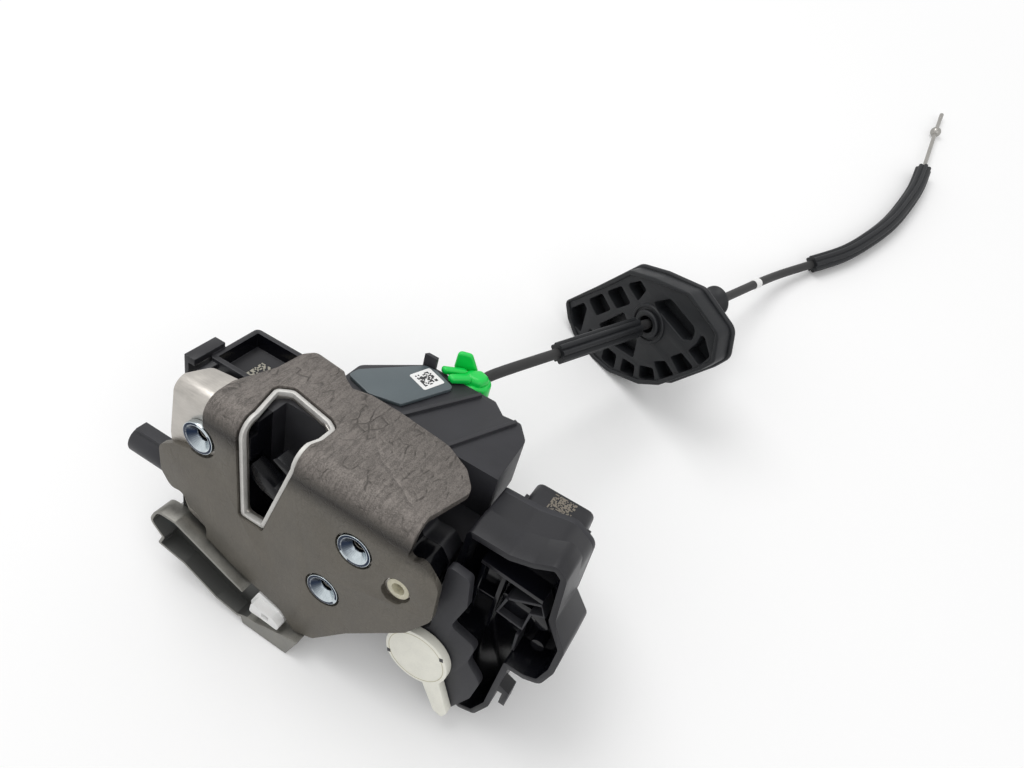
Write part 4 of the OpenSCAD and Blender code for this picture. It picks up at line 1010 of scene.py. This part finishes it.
# Green clip: rounded body round the conduit, a tapered vane on it and two fingers beside the label
clip = {
    "body": [(-10.6, 74.2, 3.5), (-3.2, 75.2, 3), (1.4, 79, 3.5), (0.4, 85, 4), (-4, 87.6, 3.5),
             (-11.6, 82.6, 3.5)],
    "bodySpan": (12, 22.5, 1.6),
    "hub": [(-9, 76.4, 3), (-1.4, 77.4, 3), (0, 83.6, 3), (-5.6, 85.6, 3), (-10.6, 81, 3)],
    "hubSpan": (20, 25.6, 2.2),
    "fingers": [[(-19.4, 75.4, 1.2), (-16.2, 74, 1.2), (-8.4, 79, 1.6), (-10.6, 81.4, 1.6)],
                [(-14.6, 72.6, 1.2), (-11, 71.2, 1.2), (-4.4, 77.4, 1.6), (-8.6, 79.4, 1.6)]],
    "fingerSpan": (22.6, 25.6, 1.1),
    "vane": [(1.4, 0, 1), (11.6, 0, 1), (7.4, 8.2, 1.8), (1.8, 8.2, 1.8)],
    "vaneSpan": (-2.4, 0, 0.9), "vaneAt": (-17.2, 80.4, 22.2), "vaneTurn": 22,
}
vaneMatrix = lockMatrix @ shiftTo(clip["vaneAt"]) @ turnBy(clip["vaneTurn"], "Z") @ turnBy(90, "X")
clipMesh = joined([
    level([clip["body"]], *clip["bodySpan"]),
    level([clip["hub"]], *clip["hubSpan"]),
    moved(plate([clip["vane"]], *clip["vaneSpan"]), vaneMatrix),
    *[level([finger], *clip["fingerSpan"]) for finger in clip["fingers"]],
], "cableClip")
smoothByAngle(clipMesh, 40)
addPiece("cableClip", clipMesh, bodyOf["cable_clip"], "greenPlastic",
         ["cable_clip"])

# Thin ribs in the actuator's open front
ribs = {
    "lines": [
        [(50.6, -1.8), (48.9, -10.2), (59.2, -11.4), (59.8, -2), (64.4, 0.4), (62.1, 4.9),
         (51.2, -1)],
        [(58.4, -15.3), (59.1, -24.5)],
        [(31.6, -12.9), (37.4, -13.1)],
    ],
    "width": 1.1, "from": 17.6, "to": 25.4, "edge": 0.2,
}
ribMeshes = [
    upright([wallOutline(line, ribs["width"])], ribs["from"], ribs["to"], ribs["edge"])
    for line in ribs["lines"]
]
addPiece("frontRibs", joined(ribMeshes, "frontRibs"), bodyOf["actuator_housing"],
         "coverPlastic")

# Zinc lip round the mouth, its outline drawn on the plate laid flat: s runs up the face, then back
lip = {
    "outline": [(-49.4, -20.5, 2), (-38.2, -20.5, 1.5), (-27, 18, 4), (-27, 30.6),
                (-25.5, 34.6, 3), (-25.5, 42.6, 3), (-30, 45.1, 3), (-48.9, 48.6, 4),
                (-54.7, 44.6, 3), (-51.5, 30.6), (-51.5, 17)],
    "bend": 8, "bendAt": 18, "top": 26, "gap": 0.5, "width": 2, "from": 1, "to": 3, "step": 1.5,
    "edge": 0.2,
}


def foldedPoint(look, x, s, depth):
    radius = look["bend"]
    angle = (s - look["bendAt"]) / radius
    if angle <= 0:
        return lockPoint(x, depth, s)
    if angle >= math.pi / 2:
        back = radius + s - look["bendAt"] - radius * math.pi / 2
        return lockPoint(x, back, look["top"] - depth)
    reach = radius - depth
    rise = look["bendAt"] + reach * math.sin(angle)
    return lockPoint(x, radius - reach * math.cos(angle), rise)


def makeLip(look):
    corners = roundCorners(look["outline"], 6)
    line = []
    for a, b in zip(corners, corners[1:] + corners[:1]):
        pieces = max(1, math.ceil((b - a).length / look["step"]))
        line += [a.lerp(b, i / pieces) for i in range(pieces)]
    work = bmesh.new()
    rings = []
    for i, p in enumerate(line):
        along = (line[(i + 1) % len(line)] - line[i - 1]).normalized()
        side = Vector((-along.y, along.x))
        outer = p + side * look["gap"]
        inner = p + side * look["width"]
        rings.append([work.verts.new(foldedPoint(look, q.x, q.y, depth)) for q, depth in (
            (outer, look["from"]), (inner, look["from"]), (inner, look["to"]), (outer, look["to"]),
        )])
    for i, ring in enumerate(rings):
        past = rings[(i + 1) % len(rings)]
        for k in range(4):
            work.faces.new((ring[k], past[k], past[(k + 1) % 4], ring[(k + 1) % 4]))
    bmesh.ops.recalc_face_normals(work, faces=work.faces)
    softEdges(work, look["edge"])
    return meshFrom(work, "mouthLip", 40)


addPiece("mouthLip", makeLip(lip), "lock", "lipZinc")


# Square cells set at random on a grid, as on a dot code that says nothing
def cellTree():
    tree, given = newTree("cells", {
        "Count": "Int", "Side": "Float", "Share": "Float", "Seed": "Int", "Height": "Float",
        "Material": "Material",
    })
    grid = addNode(tree, "GeometryNodeMeshGrid", {
        "Size X": given["Side"], "Size Y": given["Side"],
        "Vertices X": given["Count"], "Vertices Y": given["Count"],
    })
    blank = addNode(tree, "FunctionNodeRandomValue", {
        "Probability": given["Share"], "Seed": given["Seed"],
    }, data_type="BOOLEAN")
    kept = addNode(tree, "GeometryNodeDeleteGeometry", {
        0: grid.outputs[0], "Selection": blank.outputs[3],
    })
    cell = mathOf(tree, "DIVIDE", given["Side"], mathOf(tree, "SUBTRACT", given["Count"], 1))
    size = addNode(tree, "ShaderNodeCombineXYZ", {0: cell, 1: cell, 2: given["Height"]})
    cube = addNode(tree, "GeometryNodeMeshCube", {"Size": size.outputs[0]})
    placed = addNode(tree, "GeometryNodeInstanceOnPoints", {
        "Points": kept.outputs[0], "Instance": cube.outputs[0],
    })
    endTree(tree, placed.outputs[0], given["Material"])
    return tree


codes = {
    "labelCode": {
        "count": 11, "side": 6.2, "seed": 4, "at": (-18.9, 65.7, 24.24), "turn": 71,
        "look": "inkBlack",
    },
    "trayCode": {
        "count": 14, "side": 8, "seed": 9, "at": (-72.6, 36.5, 12.06), "turn": 0,
        "look": "etchedGrey",
    },
    "connectorCode": {
        "count": 18, "side": 8.6, "seed": 2, "at": (50, 53.2, 13.04), "turn": 0,
        "look": "etchedBrown",
    },
}
cell = {"share": 0.5, "height": 0.05}
cellsOf = cellTree()
for name, look in codes.items():
    mesh = grown(bpy.data.meshes.new(name), cellsOf, {
        "Count": look["count"], "Side": look["side"] * mm, "Share": cell["share"],
        "Seed": look["seed"], "Height": cell["height"] * mm, "Material": finish[look["look"]],
    })
    place = lockMatrix @ shiftTo(look["at"]) @ turnBy(look["turn"], "Z")
    addPiece(name, moved(mesh, place), "lock")

sticker = {
    "outline": [(-25.2, 62.6, 0.8), (-21.9, 72, 0.8), (-12.6, 68.8, 0.8), (-15.9, 59.4, 0.8)],
    "span": (24.02, 24.2, 0.05),
}
addPiece("labelSticker", level([sticker["outline"]], *sticker["span"]), "lock", "paperWhite")

# Threads in the inserts' bores
thread = {"radius": 2.42, "from": 3.4, "to": 14.6, "pitch": 1, "section": 0.34, "steps": 24}


def threadTree():
    tree, given = newTree("thread", {
        "Radius": "Float", "Length": "Float", "Turns": "Float", "Steps": "Int", "Section": "Float",
        "Material": "Material",
    })
    spiral = addNode(tree, "GeometryNodeCurveSpiral", {
        "Resolution": given["Steps"], "Rotations": given["Turns"],
        "Start Radius": given["Radius"], "End Radius": given["Radius"],
        "Height": given["Length"],
    })
    ring = addNode(tree, "GeometryNodeCurvePrimitiveCircle", {
        "Resolution": 4, "Radius": given["Section"],
    })
    skin = addNode(tree, "GeometryNodeCurveToMesh", {
        "Curve": spiral.outputs[0], "Profile Curve": ring.outputs[0], "Fill Caps": True,
    })
    endTree(tree, skin.outputs[0], given["Material"])
    return tree


threadLength = thread["to"] - thread["from"]
threadMesh = grown(bpy.data.meshes.new("thread"), threadTree(), {
    "Radius": thread["radius"] * mm, "Length": threadLength * mm,
    "Turns": threadLength / thread["pitch"], "Steps": thread["steps"],
    "Section": thread["section"] * mm, "Material": finish["boltDark"],
})
threads = [
    moved(threadMesh.copy(), lockMatrix @ shiftTo((x, thread["from"], z)) @ turnBy(-90, "X"))
    for x, z in insertPlaces
]
addPiece("insertThreads", joined(threads, "insertThreads"), "lock", "boltDark")

# Two indexing marks on the key disc, and a darker ring on it as painted shade of a groove
keyDisc = {
    "at": (30, -41), "face": 4.6, "markDepth": 0.08, "markEdge": 0.02,
    "marks": [[(18.8, -47.8), (20.2, -47.3), (19.7, -45.6), (18.3, -46.1)],
              [(39, -34.6), (40.4, -34.1), (39.9, -32.4), (38.5, -32.9)]],
    "groove": [(11.4, 0), (11.7, 0), (11.7, 0.06), (11.4, 0.06)],
}
markMesh = upright(keyDisc["marks"], keyDisc["face"] - keyDisc["markDepth"], keyDisc["face"],
                   keyDisc["markEdge"])
addPiece("keyMarks", markMesh, bodyOf["key_lever"], "inkBlack")
discMiddle = (keyDisc["at"][0], keyDisc["face"], keyDisc["at"][1])
# painted shade: a darker ring standing in for the shade in a thin groove
grooveShadeMesh = moved(lathe(keyDisc["groove"], 64, True),
                   lockMatrix @ shiftTo(discMiddle) @ turnBy(90, "X"))
addPiece("keyGrooveShade", grooveShadeMesh, bodyOf["key_lever"], "waxyPlastic")

print("stage: floor and light")
# The floor is white to the lens beyond "far" metres from its middle
studio = {
    "floor": (0.84, 0.84, 0.84), "seen": (1, 1, 1), "half": 4,
    "middle": (0.03, 0.15, 0), "near": 0.22, "far": 0.6, "sky": 0.66,
    "lamps": {
        "key": {"place": (-0.45, 0.35, 1.1), "size": 0.7, "power": 5.5},
        "fill": {"place": (0.9, -0.5, 0.9), "size": 0.9, "power": 2.2},
    },
}


def makeFloor(look):
    mesh = bpy.data.meshes.new("floor")
    half = look["half"]
    corners = [(-half, -half, 0), (half, -half, 0), (half, half, 0), (-half, half, 0)]
    mesh.from_pydata(corners, [], [(0, 1, 2, 3)])
    material = bpy.data.materials.new("floor")
    material.use_nodes = True
    tree = material.node_tree
    shader = tree.nodes["Principled BSDF"]
    rays = addNode(tree, "ShaderNodeLightPath").outputs
    seen = mathOf(tree, "MAXIMUM", rays["Is Camera Ray"], rays["Is Glossy Ray"])
    colour = tinted(tree, seen, look["floor"], look["seen"])
    tree.links.new(colour, shader.inputs["Base Color"])
    shader.inputs["Roughness"].default_value = 0.9
    shader.inputs["Specular IOR Level"].default_value = 0
    place = addNode(tree, "ShaderNodeTexCoord").outputs["Object"]
    away = spread(tree, distanceTo(tree, place, look["middle"]), look["near"], look["far"], 0, 1)
    share = mathOf(tree, "MULTIPLY", away, rays["Is Camera Ray"])
    white = addNode(tree, "ShaderNodeEmission", {"Color": (1, 1, 1, 1), "Strength": 1})
    blend = addNode(tree, "ShaderNodeMixShader", {
        0: share, 1: shader.outputs[0], 2: white.outputs[0],
    })
    tree.links.new(blend.outputs[0], tree.nodes["Material Output"].inputs["Surface"])
    mesh.materials.append(material)
    linked("floor", mesh)


def makeSky(look):
    world = bpy.data.worlds.new("sky")
    bpy.context.scene.world = world
    world.use_nodes = True
    tree = world.node_tree
    rays = addNode(tree, "ShaderNodeLightPath").outputs
    seen = mathOf(tree, "MAXIMUM", rays["Is Camera Ray"], rays["Is Glossy Ray"])
    seen = mathOf(tree, "MAXIMUM", seen, rays["Is Transmission Ray"])
    strength = spread(tree, seen, 0, 1, look["sky"], 1)
    background = tree.nodes["Background"]
    background.inputs["Color"].default_value = (1, 1, 1, 1)
    tree.links.new(strength, background.inputs["Strength"])


def makeLamp(name, look):
    data = bpy.data.lights.new(name, "AREA")
    data.size = look["size"]
    data.energy = look["power"]
    linked(name, data).matrix_world = turnedTo(Vector(look["place"]), look["place"])


makeFloor(studio)
makeSky(studio)
for name, look in studio["lamps"].items():
    makeLamp(name, look)
bpy.context.scene.view_settings.view_transform = "Standard"
